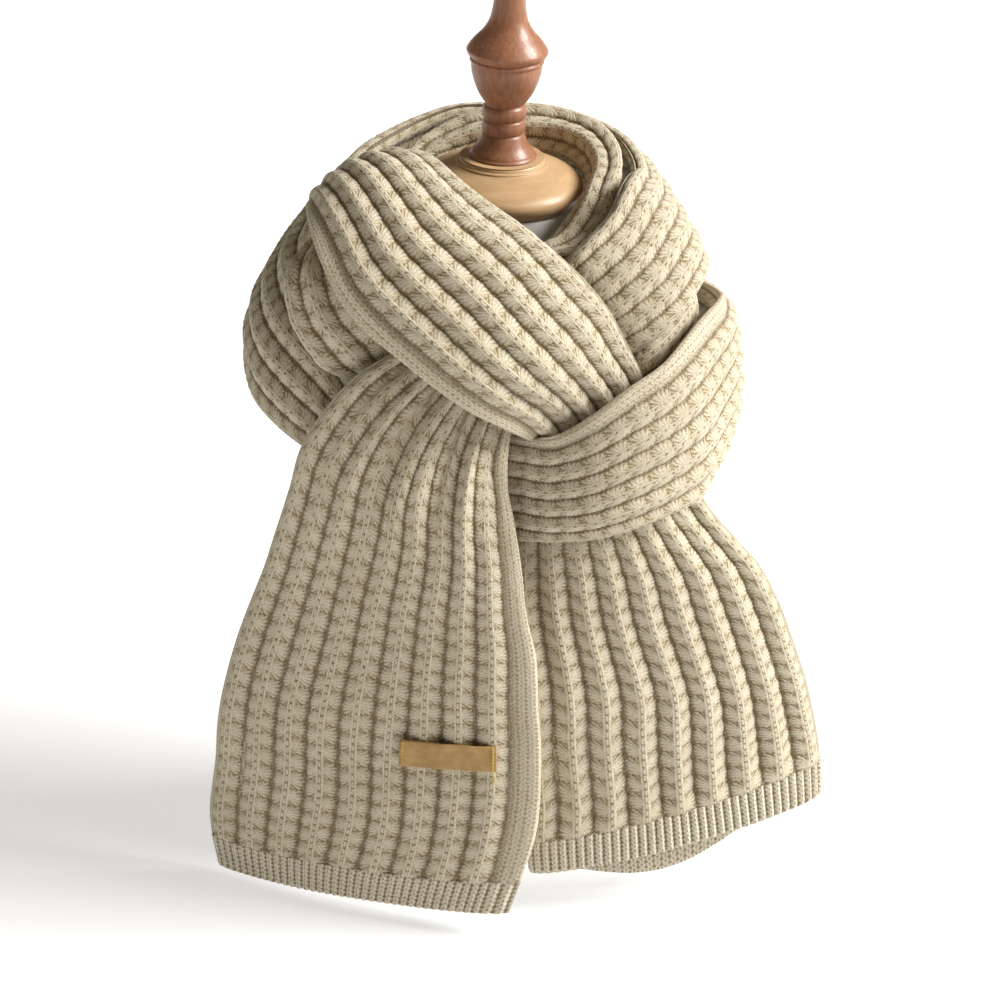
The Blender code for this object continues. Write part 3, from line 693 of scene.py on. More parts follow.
class Layout:
    """How ribs and plain rolls are spread round a section, from its upper edge and back."""

    def __init__(self, kind):
        outer, inner = LAYOUTS[kind]
        roll, turn = (0, 0) if kind == "fold" else (ROLL_STEPS, TURN_STEPS)
        far, back = outer + (1 if roll else 0), outer + inner + (1 if roll else 0)
        # Columns: first and last knot, first and last rib, points, plain or not.
        spans = [
            (0, 1, -ROLL_OUTER, 0, roll, 1.0), (1, 2, 0, outer, outer * FINE_PER_RIB, 0.0),
            (2, 3, outer, outer + ROLL_OUTER, roll, 1.0), (3, 4, outer + ROLL_OUTER, far, turn, 1.0),
            (4, 5, far, back, inner * COARSE_PER_RIB, 0.0),
            (5, 6, back, back + 1 - ROLL_OUTER, turn, 1.0),
        ]
        columns = [np.linspace((k0, p0), (k1, p1), n, endpoint=False) for k0, k1, p0, p1, n, _ in spans if n]
        last = (6, back + 1 - ROLL_OUTER) if roll else (5, back)
        columns = np.concatenate(columns + [np.array([last], dtype=float)])
        self.knot, self.phase = columns[:, 0], columns[:, 1]
        self.flat = np.concatenate([np.full(n, flat) for *_, n, flat in spans])
        self.outer, self.inner = outer, inner

    def shares(self, rolls, run):
        """Places of the columns round a section, 0 to 1 outside and 1 to 2 back, and rib widths."""
        low, high = rolls
        knots = (0.0, low, 1.0 - high, 1.0, 1.0 + high / 2, 2.0 - low / 2, 2.0)
        share = np.interp(self.knot[:-1], np.arange(7), knots)
        pitch = np.where(share < 1.0, (1 - low - high) / self.outer, (1 - low / 2 - high / 2) / self.inner)
        stray = np.sin(run / 31.0 + 2.6 * share) + np.sin(run / 19.0 - 3.7 * share)
        return share + RIB_WANDER * stray * np.sin(math.pi * share) ** 2, pitch


def rolls_along(ranges):
    """Stations and widths of the two plain rolls, for the whole scarf."""
    knots, widths = [], []
    for name, (a, b) in ranges.items():
        inset = min(ROLL_CHANGE, (b - a) / 3)
        knots += [a + inset, b - inset]
        widths += [ROLLS.get(name, (NO_ROLL, NO_ROLL))] * 2
    return np.array(knots), np.array(widths)


def side_runs(outline):
    """Running length round an outline, as 0 to 1 over the outer side and 1 to 2 back."""
    steps = np.linalg.norm(np.diff(np.vstack([outline, outline[:1]]), axis=0), axis=1)
    run = np.concatenate([[0.0], np.cumsum(steps)])
    half = len(outline) // 2
    shares = np.concatenate([run[:half + 1] / run[half],
                             1.0 + (run[half + 1:] - run[half]) / (run[-1] - run[half])])
    return shares, run[half]


class Cloth:
    """The settled middle surface of the scarf or of a fold, read at any place along it."""

    def __init__(self, grid, thick, hems=()):
        self.grid, self.thick = grid, thick
        rows = np.concatenate([grid.reshape(len(grid), -1), thick[:, None]], axis=1)
        self.rows = rows
        steps = np.linalg.norm(np.diff(grid.mean(axis=1), axis=0), axis=1)
        self.run = np.concatenate([[0.0], np.cumsum(steps)])
        self.hem_runs = [self.run[i] for i in hems] or [-2 * RIB_FADE]

    def breadth(self, a, b):
        """Mean flat width of the cloth from station a to station b."""
        return np.linalg.norm(np.diff(self.grid[a:b + 1], axis=1), axis=2).sum(axis=1).mean()

    def at(self, places):
        """Middle lines, normals, travel, half thickness and running length at places."""
        delta = 0.02
        read = smooth_rows(self.rows, places)
        ahead = smooth_rows(self.rows, np.clip(places + delta, 0, len(self.rows) - 1))
        behind = smooth_rows(self.rows, np.clip(places - delta, 0, len(self.rows) - 1))
        lines = read[:, :-1].reshape(len(places), ACROSS, 3)
        forward = (ahead - behind)[:, :-1].reshape(lines.shape)
        normals = unit(np.cross(forward, np.gradient(lines, axis=1)))
        travel = unit(forward.mean(axis=1))
        return lines, normals, travel, read[:, -1] / 2, np.interp(places, np.arange(len(self.run)), self.run)


def outline_at(line, normals, half, inset=0.0):
    return section(line, normals, half, inset, OUTLINE_STEPS)


def ring_on(outline, layout, rolls, run, travel):
    """Points and outward directions round one section, and the rib width at each."""
    spots, side = side_runs(outline)
    share, pitch = layout.shares(rolls, run)
    places = np.interp(share, spots, np.arange(len(outline) + 1))
    out = ring_outward(outline, travel)
    return read_ring(outline, places), unit(read_ring(out, places)), pitch * side


def sag_of(place):
    return BACK_DROP * max(0.0, 1 - place / BACK_DROP_STATIONS) ** 2


def knit_rows(cloth, layout, places, kind, hang, rolls, pleated=False):
    """Rings of the outer surface with the knit on it, and what the finish needs of each point."""
    lines, normals, travel, halves, runs = cloth.at(places)
    square = square_to(lines, normals, travel)
    phase = layout.phase[:-1]
    edge = np.abs(2 * Plain.fraction(phase) - 1)
    pleat = (0.5 - 0.5 * np.cos(math.pi * phase)) * edge ** 2 * (layout.knot[:-1] < 2)
    rings, depths = [], []
    for i, place in enumerate(places):
        outline = outline_at(lines[i], normals[i], halves[i])
        ring, out, pitch = ring_on(outline, layout, rolls[i], runs[i], square[i])
        # depth says how near each point lies to the crest of a rib, 1 on the crest and 0 in the furrow; the
        # finish paints shade in the furrows from it.
        if kind == "hem":
            columns = column_stitches(Plain, phase * RIB_WIDTH, runs[i], HEM_COLUMN)
            depth = 0.5 - 0.5 * np.cos(2 * math.pi * phase * RIB_WIDTH / HEM_COLUMN)
            relief = HEM_RISE * (depth ** HEM_POWER - 1) + HEM_STITCH * columns - HEM_SINK
            depth = depth ** HEM_SHADE_POWER
        else:
            depth = 1 - edge ** 2
            ends = min(abs(runs[i] - run) for run in cloth.hem_runs) / RIB_FADE
            full = 1 - HEM_FLATTEN * max(0.0, 1 - ends) ** 2
            fans = FAN_SHARE * fan_stitches(Plain, phase, row_places(phase, runs[i])) * pitch / RIB_WIDTH
            relief = -RIB_RISE * pitch * edge ** RIB_POWER * full - CREST_SINK
            relief = relief + fans * (1 - layout.flat) * full
            if pleated:
                relief -= PLEAT_DEPTH * max(0.0, 1 - (runs[i] - runs[0]) / PLEAT_RUN) * pleat
        relief = relief + drift(ring, WAVE_SIZE, WAVE_HEIGHT)
        ring = ring + out * relief[:, None]
        if hang:
            ring = hang_back(ring, lines[i], normals[i].mean(axis=0), travel[i], sag_of(place))
        rings.append(ring)
        depths.append(depth)
    return rings, depths, runs


def inside_rows(cloth, layout, places, wall, hang, rolls):
    """Rings of the plain inside of the tube."""
    lines, normals, travel, halves, runs = cloth.at(places)
    square = square_to(lines, normals, travel)
    rings = []
    for i, place in enumerate(places):
        outline = outline_at(lines[i], normals[i], max(halves[i] - wall, LEAST_SLIT), wall)
        ring, _, _ = ring_on(outline, layout, rolls[i], runs[i], square[i])
        if hang:
            ring = hang_back(ring, lines[i], normals[i].mean(axis=0), travel[i], sag_of(place))
        rings.append(ring)
    return rings, runs


def rim_rows(outer_ring, inner_ring, out):
    """Rings that round off the rim of a hem, from its outer side to its inner side."""
    rings = []
    for k in range(1, RIM_STEPS + 1):
        turn = math.pi * k / (RIM_STEPS + 1)
        mix = (1 - math.cos(turn)) / 2
        rings.append(outer_ring * (1 - mix) + inner_ring * mix + out * RIM_RADIUS * math.sin(turn))
    return rings


def knit_mesh(name, rings, layout, runs, depths, material, tube):
    """Mesh from rings of points, a tube's last one meeting its first, with a UV map in metres."""
    count, rows = len(rings[0]), len(rings)
    points = np.concatenate(rings) * MM
    i, j = np.meshgrid(np.arange(rows if tube else rows - 1), np.arange(count), indexing="ij")
    k, n = (j + 1) % count, (i + 1) % rows
    quads = np.stack([i * count + j, i * count + k, n * count + k, n * count + j], axis=-1)
    faces = [tuple(q) for q in quads.reshape(-1, 4).tolist()]
    if not tube:
        faces += [tuple(range(count - 1, -1, -1)), tuple(range(count * (rows - 1), count * rows))]
    mesh = bpy.data.meshes.new(name)
    mesh.from_pydata(points.tolist(), [], faces)
    across = layout.phase * RIB_WIDTH * MM
    along = row_places(layout.phase, np.asarray(runs)[:, None]) * MM
    u = np.stack([across[j], across[j + 1], across[j + 1], across[j]], axis=-1).ravel()
    v = np.stack([along[i, j], along[i, j + 1], along[n, j + 1], along[n, j]], axis=-1).ravel()
    uv = np.zeros((len(mesh.loops), 2))
    uv[:len(u), 0], uv[:len(v), 1] = u, v
    mesh.uv_layers.new(name="knit").data.foreach_set("uv", uv.ravel())
    # crest is the value from which the finish paints shade in the furrows and between the stitches; plain
    # marks the plain rolls.
    for key, field in (("crest", np.concatenate(depths)), ("plain", np.tile(layout.flat, rows))):
        made = mesh.attributes.new(key, "FLOAT", "POINT")
        made.data.foreach_set("value", field.astype(np.float32))
    thing = bpy.data.objects.new(name, mesh)
    bpy.context.scene.collection.objects.link(thing)
    thing.data.materials.append(material)
    shape = bmesh.new()
    shape.from_mesh(mesh)
    if shape.calc_volume(signed=True) < 0:
        bmesh.ops.reverse_faces(shape, faces=shape.faces)
    shape.to_mesh(mesh)
    shape.free()
    mesh.shade_smooth()
    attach(thing, "root")
    return thing


def even_places(cloth, a, b, step):
    """Places from station a to station b, about step apart along the scarf."""
    count = int(round((cloth.run[b] - cloth.run[a]) / step))
    runs = np.linspace(cloth.run[a], cloth.run[b], max(count, 2) + 1)
    return np.interp(runs, cloth.run[a:b + 1], np.arange(a, b + 1))


def stretch_piece(name, cloth, ranges, material):
    """One stretch of the scarf, from one station to another: the knit, and a plain inside."""
    a, b = ranges[name]
    kind = "hem" if name.startswith("hem") else "rib"
    layout = Layout("tail" if name.startswith(("hem", "tail")) else "wrap")
    hang = a < BACK_DROP_STATIONS
    knots, widths = rolls_along(ranges)

    def rolls(places):
        return np.stack([np.interp(places, knots, widths[:, k]) for k in range(2)], axis=1)

    places, inside_places = even_places(cloth, a, b, ROW_STEP), even_places(cloth, a, b, INSIDE_STEP)
    rings, depths, runs = knit_rows(cloth, layout, places, kind, hang, rolls(places), name == "tail_left")
    inside, inside_runs = inside_rows(cloth, layout, inside_places, HEM_WALL if kind == "hem" else WALL,
                                      hang, rolls(inside_places))
    runs, inside_runs = list(runs), list(inside_runs)
    rim = []
    if kind == "hem" and a == 0:
        rings, depths, runs = rings[::-1], depths[::-1], runs[::-1]
        inside, inside_runs = inside[::-1], inside_runs[::-1]
    if kind == "hem":
        out = unit(rings[-1].mean(axis=0) - rings[-2].mean(axis=0))
        rim = rim_rows(rings[-1], inside[-1], out)
    rings = list(rings) + rim + inside[::-1]
    runs = runs + [runs[-1]] * len(rim) + inside_runs[::-1]
    # The rim and the inside take the inside crest value, which the finish turns into painted shade.
    depths = list(depths) + [np.full(len(rings[0]), INSIDE_CREST)] * (len(rings) - len(depths))
    piece = knit_mesh("knit_" + name, rings, layout, runs, depths, material, True)
    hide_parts(name)
    return piece, (2 * cloth.breadth(a, b), cloth.run[b] - cloth.run[a])


def fold_piece(name, cloth, material):
    """A fold of cloth, its ends drawn together under the layers that hide them."""
    layout = Layout("fold")
    places = even_places(cloth, 0, len(cloth.run) - 1, ROW_STEP)
    rings, depths, runs = knit_rows(cloth, layout, places, "fold", False, [(0.0, 0.0)] * len(places))
    for i, run in enumerate(runs):
        short = 1 - min(run, runs[-1] - run, FOLD_END) / FOLD_END
        middle = rings[i].mean(axis=0)
        rings[i] = middle + (rings[i] - middle) * max(math.sqrt(1 - short * short), 0.1)
    piece = knit_mesh("knit_" + name, rings, layout, runs, depths, material, False)
    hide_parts(name)
    return piece, (cloth.breadth(0, len(cloth.run) - 1) + cloth.thick.mean(), cloth.run[-1])


# ---------------------------------------------------------------- finishes

def new_material(name, roughness, **constants):
    material = bpy.data.materials.new(name)
    material.use_nodes = True
    Wire.tree = material.node_tree
    shader = material.node_tree.nodes["Principled BSDF"]
    shader.inputs["Roughness"].default_value = roughness
    for key, value in constants.items():
        shader.inputs[key.replace("_", " ")].default_value = value
    return material, shader


def feed(shader, socket, wire):
    Wire.tree.links.new(wire.socket, shader.inputs[socket])


def mixed(factor, a, b, mode="MIX"):
    """Colour between a and b; each is a colour or a wire."""
    made = Wire.tree.nodes.new("ShaderNodeMix")
    made.data_type, made.blend_type = "RGBA", mode
    for key, value in (("Factor_Float", factor), ("A_Color", a), ("B_Color", b)):
        socket = next(s for s in made.inputs if s.identifier == key)
        if isinstance(value, Wire):
            Wire.tree.links.new(value.socket, socket)
        else:
            socket.default_value = value if isinstance(value, float) else (*value, 1.0)
    return Wire(next(s for s in made.outputs if s.identifier == "Result_Color"))


def noise(vector, scale, detail=2.0, roughness=0.5):
    return Wire.node("ShaderNodeTexNoise", {}, {"Vector": vector, "Scale": scale, "Detail": detail,
                                                "Roughness": roughness})


def spread(value, low, high):
    """Map value to 0 to 1 between low and high, softly."""
    return Wire.node("ShaderNodeMapRange", {"interpolation_type": "SMOOTHSTEP"},
                     {"Value": value, "From Min": low, "From Max": high})


def bump(height, distance, strength=1.0):
    return Wire.node("ShaderNodeBump", {}, {"Strength": strength, "Distance": distance, "Height": height})


def object_place():
    return Wire.node("ShaderNodeTexCoord", out="Object")


def axis(vector, letter):
    """One coordinate of a vector."""
    return Wire.node("ShaderNodeSeparateXYZ", {}, {"Vector": vector}, out=letter)


def attribute(name):
    return Wire.node("ShaderNodeAttribute", {"attribute_name": name}, out="Fac")


# Yarn colours. The light and the dark are the heathered yarn's own fibres and also, in the knit finish,
# painted highlight and painted shade; the hole colour is painted shade in the furrows and between the
# stitches.
YARN_LIGHT = (0.96, 0.90, 0.76)
YARN_MID = (0.72, 0.615, 0.415)
YARN_DARK = (0.36, 0.26, 0.11)
YARN_HOLE_SHADE = (0.19, 0.125, 0.04)
LEATHER_DARK, LEATHER_LIGHT = (0.46, 0.27, 0.09), (0.58, 0.37, 0.15)
LEATHER_PORE = (0.30, 0.16, 0.05)
THREAD_DARK, THREAD_LIGHT = (0.50, 0.33, 0.04), (0.80, 0.60, 0.14)
LINEN_LIGHT, LINEN_DARK = (0.80, 0.785, 0.755), (0.72, 0.70, 0.665)
LINEN_GAP = (0.5, 0.47, 0.42)
CAP_LIGHT, CAP_DARK = (0.59, 0.39, 0.215), (0.50, 0.32, 0.165)
CAP_KNOT = (-0.012, -0.0242, 0.527)            # where a small knot shows, in metres
FINIAL_LIGHT, FINIAL_DARK = (0.37, 0.165, 0.090), (0.27, 0.112, 0.055)
CAP_GRAIN, FINIAL_GRAIN = (34.0, 34.0, 300.0), (420.0, 420.0, 26.0)    # grain's scale on x, y, z
LINEN_WEAVE = 5200.0     # turns of the weave's wave, in radians a metre
TURNING_LINES = 7000.0   # the same for the lines that turning leaves
WANDER = 1.6             # how far a stitch wanders, in millimetres


def knit_finish(name, hem):
    """Heathered oatmeal wool: fans of long stitches, or the fine ribs of a hem, with painted shade in the
    furrows and between the strands and painted highlights on the stitch tops.
    """
    material, shader = new_material(name, 0.92, Sheen_Weight=0.25, Sheen_Roughness=0.6,
                                    Specular_IOR_Level=0.15)
    uv = Wire.node("ShaderNodeUVMap", {"uv_map": "knit"})
    place = object_place()
    wander = [noise(place, scale, 1.0) * WANDER - WANDER / 2 for scale in (480.0, 530.0)]
    across = axis(uv, "X") * (1 / MM) + wander[0]
    along = axis(uv, "Y") * (1 / MM) + wander[1]
    crest, plain = attribute("crest"), attribute("plain")
    if hem:
        relief = column_stitches(Wire, across, along, HEM_COLUMN) * 1.5
    else:
        fans = fan_stitches(Wire, across / RIB_WIDTH, along)
        roll = column_stitches(Wire, across, along, PLAIN_COLUMN) * 1.1 + 0.55
        relief = fans + (roll - fans) * plain
    fibre = noise(place, 1700.0, 3.0, 0.7)
    flecks = noise(place, 800.0, 3.0, 0.7)
    patches = noise(place, 26.0, 2.0)
    # depth runs from a rib's furrow (0) to its crest (1), with the stitches' height added; from it the lines
    # below paint shade.
    depth = crest + relief * (0.10 if hem else 0.16)
    # Painted shade in the low places between the strands of a stitch, and a painted highlight on their
    # raised tops.
    colour = mixed(spread(relief, 0.1, 1.1), YARN_DARK, YARN_MID)
    colour = mixed(spread(relief, 0.9, 1.6) * 0.9, colour, YARN_LIGHT)
    # Painted shade down a rib's flanks into its furrow, darkest in the furrow and in the pockets between the
    # fans.
    colour = mixed(spread(depth, 0.98, 0.30) * (0.1 if hem else 0.5), colour, YARN_DARK)
    colour = mixed(spread(depth, 0.62, 0.12) * (0.42 if hem else 0.60), colour, YARN_HOLE_SHADE)
    colour = mixed(spread(flecks, 0.48, 0.66) * 0.55, colour, YARN_LIGHT)
    colour = mixed(spread(flecks, 0.48, 0.32) * 0.40, colour, YARN_DARK)
    colour = mixed(spread(patches, 0.35, 0.75) * 0.12, colour, YARN_DARK)
    feed(shader, "Base Color", colour)
    height = relief * (0.3 if hem else 0.5) + fibre * 1.1 + flecks * 1.2
    feed(shader, "Normal", bump(height, 0.0010, 0.85))
    return material


def leather_finish():
    material, shader = new_material("label_leather", 0.55, Specular_IOR_Level=0.35)
    place = object_place()
    grain = Wire.node("ShaderNodeTexVoronoi", {"feature": "DISTANCE_TO_EDGE"},
                      {"Vector": place, "Scale": 1100.0})
    cloud = noise(place, 120.0, 3.0)
    colour = mixed(spread(cloud, 0.3, 0.7), LEATHER_DARK, LEATHER_LIGHT)
    colour = mixed(spread(grain, 0.0, 0.12) * 0.3 + 0.7, LEATHER_PORE, colour)
    feed(shader, "Base Color", colour)
    feed(shader, "Normal", bump(spread(grain, 0.0, 0.18) + cloud * 0.6, 0.0002, 0.7))
    return material


def thread_finish():
    material, shader = new_material("label_thread", 0.7)
    twist = noise(object_place(), 2600.0, 1.0)
    feed(shader, "Base Color", mixed(twist, THREAD_DARK, THREAD_LIGHT))
    return material


def linen_finish():
    material, shader = new_material("form_linen", 0.85, Sheen_Weight=0.1)
    place = object_place()
    x, z = axis(place, "X"), axis(place, "Z")
    warp = Wire.sum("SINE", x * LINEN_WEAVE + noise(place, 60.0) * 3.0)
    weft = Wire.sum("SINE", z * LINEN_WEAVE + noise(place, 75.0) * 3.0)
    weave = warp * weft
    cloud = noise(place, 14.0, 3.0)
    colour = mixed(spread(cloud, 0.3, 0.75), LINEN_LIGHT, LINEN_DARK)
    colour = mixed(spread(weave, -1.0, 1.0) * 0.10, colour, LINEN_GAP)
    feed(shader, "Base Color", colour)
    feed(shader, "Normal", bump(weave, 0.00025, 0.5))
    return material


def wood_finish(name, light, dark, roughness, coat, stretch, speck, knot=None):
    """Turned wood: long grain seen on the turned face, fine turning lines and pores."""
    material, shader = new_material(name, roughness, Coat_Weight=coat, Coat_Roughness=0.18,
                                    Specular_IOR_Level=0.4)
    place = object_place()
    x, y, z = [axis(place, letter) for letter in "XYZ"]
    grain_place = Wire.node("ShaderNodeCombineXYZ", {}, {"X": x * stretch[0], "Y": y * stretch[1],
                                                         "Z": z * stretch[2]})
    grain = noise(grain_place, 1.0, 4.0, 0.6)
    cloud = noise(place, 22.0, 2.0)
    turning = Wire.sum("SINE", z * TURNING_LINES + noise(place, 30.0) * 2.0)
    pores = noise(grain_place, 4.5, 2.0, 0.7)
    colour = mixed(spread(grain, 0.32, 0.68), light, dark)
    colour = mixed(spread(cloud, 0.35, 0.75) * 0.35, colour, tuple(0.8 * c for c in dark))
    colour = mixed(spread(pores, 0.60, 0.72) * speck, colour, tuple(0.45 * c for c in dark))
    if knot:
        away = Wire.node("ShaderNodeVectorMath", {"operation": "DISTANCE"}, {0: place, 1: knot}, out="Value")
        colour = mixed(spread(away, 0.0016, 0.0008), colour, tuple(0.12 * c for c in dark))
    feed(shader, "Base Color", colour)
    feed(shader, "Roughness", grain * 0.16 + (roughness - 0.08))
    feed(shader, "Normal", bump(grain * 0.6 + turning * 0.10 + pores * 0.4, 0.0003, 0.5))
    return material


def floor_finish():
    material, shader = new_material("studio_floor", 1.0, Specular_IOR_Level=0.0)
    shader.inputs["Base Color"].default_value = (FLOOR_GREY, FLOOR_GREY, FLOOR_GREY, 1.0)
    shader.inputs["Emission Color"].default_value = (1.0, 1.0, 1.0, 1.0)
    shader.inputs["Emission Strength"].default_value = FLOOR_GLOW
    return material


# ---------------------------------------------------------------- pieces

SHARP_EDGE = math.radians(50)                  # edges that turn more than this stay sharp


def select_only(*things):
    bpy.ops.object.select_all(action="DESELECT")
    for thing in things:
        thing.select_set(True)
    bpy.context.view_layer.objects.active = things[0]


def finish_piece(piece, material):
    """Apply the modifiers and the place of a piece, and give it its material."""
    select_only(piece)
    for modifier in list(piece.modifiers):
        bpy.ops.object.modifier_apply(modifier=modifier.name)
    bpy.ops.object.transform_apply(location=True, rotation=True, scale=True)
    piece.data.materials.clear()
    piece.data.materials.append(material)
    bpy.ops.object.shade_smooth_by_angle(angle=SHARP_EDGE)


# ---------------------------------------------------------------- label

LABEL_THICK = 1.9
LABEL_ALONG, LABEL_OVER = 14, 40
LABEL_WAVE = 0.35        # how far the label bends in and out over the ribs
LABEL_BEVEL = 0.45
CREST_EDGE, CREST_FACE = 2.2, 0.31             # a section's curve, by the place across it
STITCHES, STITCH_POINTS = 7, 7
STITCH_START, STITCH_END = 0.16, 0.84          # where a stitch shows, as a share of its step
STITCH_RADIUS = 0.55
STITCH_ENDS = {"left": 0.035, "right": 0.965}  # places of the stitches across the label
LOOSE_THREAD = ((0.0, 0.0), (0.4, -2.0), (1.6, -4.5), (1.2, -7.5), (-0.6, -10.0), (-0.9, -12.5))
LOOSE_RADIUS = 0.35


def label_spots(cloth, span, along, over, lift):
    """Points over the ribs of the left tail at shares of the label's height and width."""
    a, b = span
    places = a + (b - a) * (LABEL_TOP + (LABEL_BOTTOM - LABEL_TOP) * along)
    lines, normals, _, halves, _ = cloth.at(places)
    spots, ups = [], []
    for i in range(len(places)):
        u = LABEL_LEFT + (LABEL_RIGHT - LABEL_LEFT) * over
        spot = (u + 1) / 2 * (ACROSS - 1)
        low = np.minimum(spot.astype(int), ACROSS - 2)
        f = (spot - low)[:, None]
        point = lines[i][low] * (1 - f) + lines[i][low + 1] * f
        up = unit(normals[i][low] * (1 - f) + normals[i][low + 1] * f)
        wave = LABEL_WAVE * np.sin(over * 17.0 + 0.6)
        rise = halves[i] * (1 - np.abs(u) ** CREST_EDGE) ** CREST_FACE + lift + wave
        spots.append(point + up * rise[:, None])
        ups.append(up)
    return np.array(spots), np.array(ups)


def label_piece(cloth, span, material):
    along = np.linspace(0.0, 1.0, LABEL_ALONG + 1)
    over = np.linspace(0.0, 1.0, LABEL_OVER + 1)
    spots, _ = label_spots(cloth, span, along, over, LABEL_LIFT + LABEL_THICK)
    bpy.ops.mesh.primitive_grid_add(x_subdivisions=LABEL_OVER, y_subdivisions=LABEL_ALONG, size=1)
    piece = bpy.context.object
    piece.name = piece.data.name = "leather_label"
    flat = spots[::-1].reshape(-1, 3) * MM
    piece.data.vertices.foreach_set("co", flat.ravel())
    piece.data.update()
    shell = piece.modifiers.new("Leather", "SOLIDIFY")
    shell.thickness, shell.offset = LABEL_THICK * MM, -1
    round_off = piece.modifiers.new("Cut edge", "BEVEL")
    round_off.width, round_off.segments, round_off.limit_method = LABEL_BEVEL * MM, 3, "ANGLE"
    round_off.angle_limit = SHARP_EDGE
    finish_piece(piece, material)
    return piece


def thread_curve(name, points, radius, material):
    """A thread along points in millimetres, as a mesh."""
    curve = bpy.data.curves.new(name, "CURVE")
    curve.dimensions, curve.bevel_depth, curve.bevel_resolution = "3D", radius * MM, 3
    curve.use_fill_caps = True
    line = curve.splines.new("POLY")
    line.points.add(len(points) - 1)
    for spot, point in zip(line.points, points):
        spot.co = (*(np.array(point) * MM), 1.0)
    thing = bpy.data.objects.new(name, curve)
    bpy.context.scene.collection.objects.link(thing)
    select_only(thing)
    bpy.ops.object.convert(target="MESH")
    thing = bpy.context.object
    finish_piece(thing, material)
    return thing


def stitch_pieces(cloth, span, material):
    """Running stitches down both short ends of the label, and a loose thread end."""
    made = []
    for side, over in STITCH_ENDS.items():
        stitches = []
        for k in range(STITCHES):
            ends = np.linspace((k + STITCH_START) / STITCHES, (k + STITCH_END) / STITCHES, STITCH_POINTS)
            spots, ups = label_spots(cloth, span, ends, np.array([over]), LABEL_LIFT + LABEL_THICK)
            arch = np.sin(np.linspace(0, math.pi, STITCH_POINTS)) - 0.5
            stitches.append(thread_curve("stitch", spots[:, 0] + ups[:, 0] * arch[:, None],
                                         STITCH_RADIUS, material))
        select_only(*stitches)
        bpy.ops.object.join()
        joined = bpy.context.object
        joined.name = joined.data.name = "label_stitches_" + side
        made.append(joined)
    spots, ups = label_spots(cloth, span, np.array([1.0]), np.array([STITCH_ENDS["right"]]),
                             LABEL_LIFT + LABEL_THICK)
    start, up = spots[0, 0], ups[0, 0]
    points = [start + up * (0.5 - 0.15 * k) + np.array([dx, 0.0, dz])
              for k, (dx, dz) in enumerate(LOOSE_THREAD)]
    made.append(thread_curve("label_thread_end", points, LOOSE_RADIUS, material))
    return made


# ---------------------------------------------------------------- form

def turned_piece(name, profile, base, material):
    """Turned wood: a profile drawn point by point and spun round the form's axis."""
    bpy.ops.mesh.primitive_plane_add(size=0.01)
    piece = bpy.context.object
    piece.name = piece.data.name = name
    bpy.ops.object.mode_set(mode="EDIT")
    bpy.ops.mesh.select_all(action="SELECT")
    bpy.ops.mesh.merge(type="CENTER")
    radius, height = profile[0]
    bpy.ops.transform.translate(value=(radius * MM, 0.0, (base + height) * MM))
    for here, there in zip(profile, profile[1:]):
        bpy.ops.mesh.extrude_vertices_move(
            TRANSFORM_OT_translate={"value": ((there[0] - here[0]) * MM, 0.0, (there[1] - here[1]) * MM)})
    bpy.ops.mesh.select_all(action="SELECT")
    bpy.ops.mesh.spin(steps=TURNED_SIDES, angle=2 * math.pi, center=(0.0, 0.0, 0.0), axis=(0.0, 0.0, 1.0))
    bpy.ops.mesh.select_all(action="SELECT")
    bpy.ops.mesh.remove_doubles(threshold=0.00002)
    bpy.ops.mesh.normals_make_consistent(inside=False)
    bpy.ops.object.mode_set(mode="OBJECT")
    finish_piece(piece, material)
    return piece


def rounded(profile, steps):
    """A finer profile through the points of a turned one, smooth where it turns gently."""
    rows = np.array(profile)
    places = np.linspace(0, len(rows) - 1, (len(rows) - 1) * steps + 1)
    fine = smooth_rows(rows, places)
    fine[:, 0] = np.maximum(fine[:, 0], 0.0)
    return [tuple(p) for p in fine]


def torso_piece(material):
    """Cloth torso: an oval raised and resized row by row, then subdivided."""
    bpy.ops.mesh.primitive_circle_add(vertices=TORSO_SIDES, radius=1.0, fill_type="NGON")
    piece = bpy.context.object
    piece.name = piece.data.name = "form_torso"
    bpy.ops.object.mode_set(mode="EDIT")
    bpy.ops.mesh.select_all(action="SELECT")
    height, wide, deep = TORSO[0]
    rows = [(height, wide - BASE_ROUND, deep - BASE_ROUND), (height + BASE_ROUND, wide, deep)]
    rows += list(TORSO[1:]) + [(TORSO[-1][0] + 0.1, NECK_RADIUS - 1.5, NECK_RADIUS - 1.5)]
    bpy.ops.transform.resize(value=(rows[0][1] * MM, rows[0][2] * MM, 1.0), center_override=(0, 0, 0))
    for (low, wide, deep), (high, next_wide, next_deep) in zip(rows, rows[1:]):
        bpy.ops.mesh.extrude_region_move(TRANSFORM_OT_translate={"value": (0, 0, (high - low) * MM)})
        bpy.ops.transform.resize(value=(next_wide / wide, next_deep / deep, 1.0), center_override=(0, 0, 0))
    bpy.ops.mesh.select_all(action="SELECT")
    bpy.ops.mesh.normals_make_consistent(inside=False)
    bpy.ops.object.mode_set(mode="OBJECT")
    smooth = piece.modifiers.new("Smooth", "SUBSURF")
    smooth.levels = smooth.render_levels = 2
    finish_piece(piece, material)
    return piece


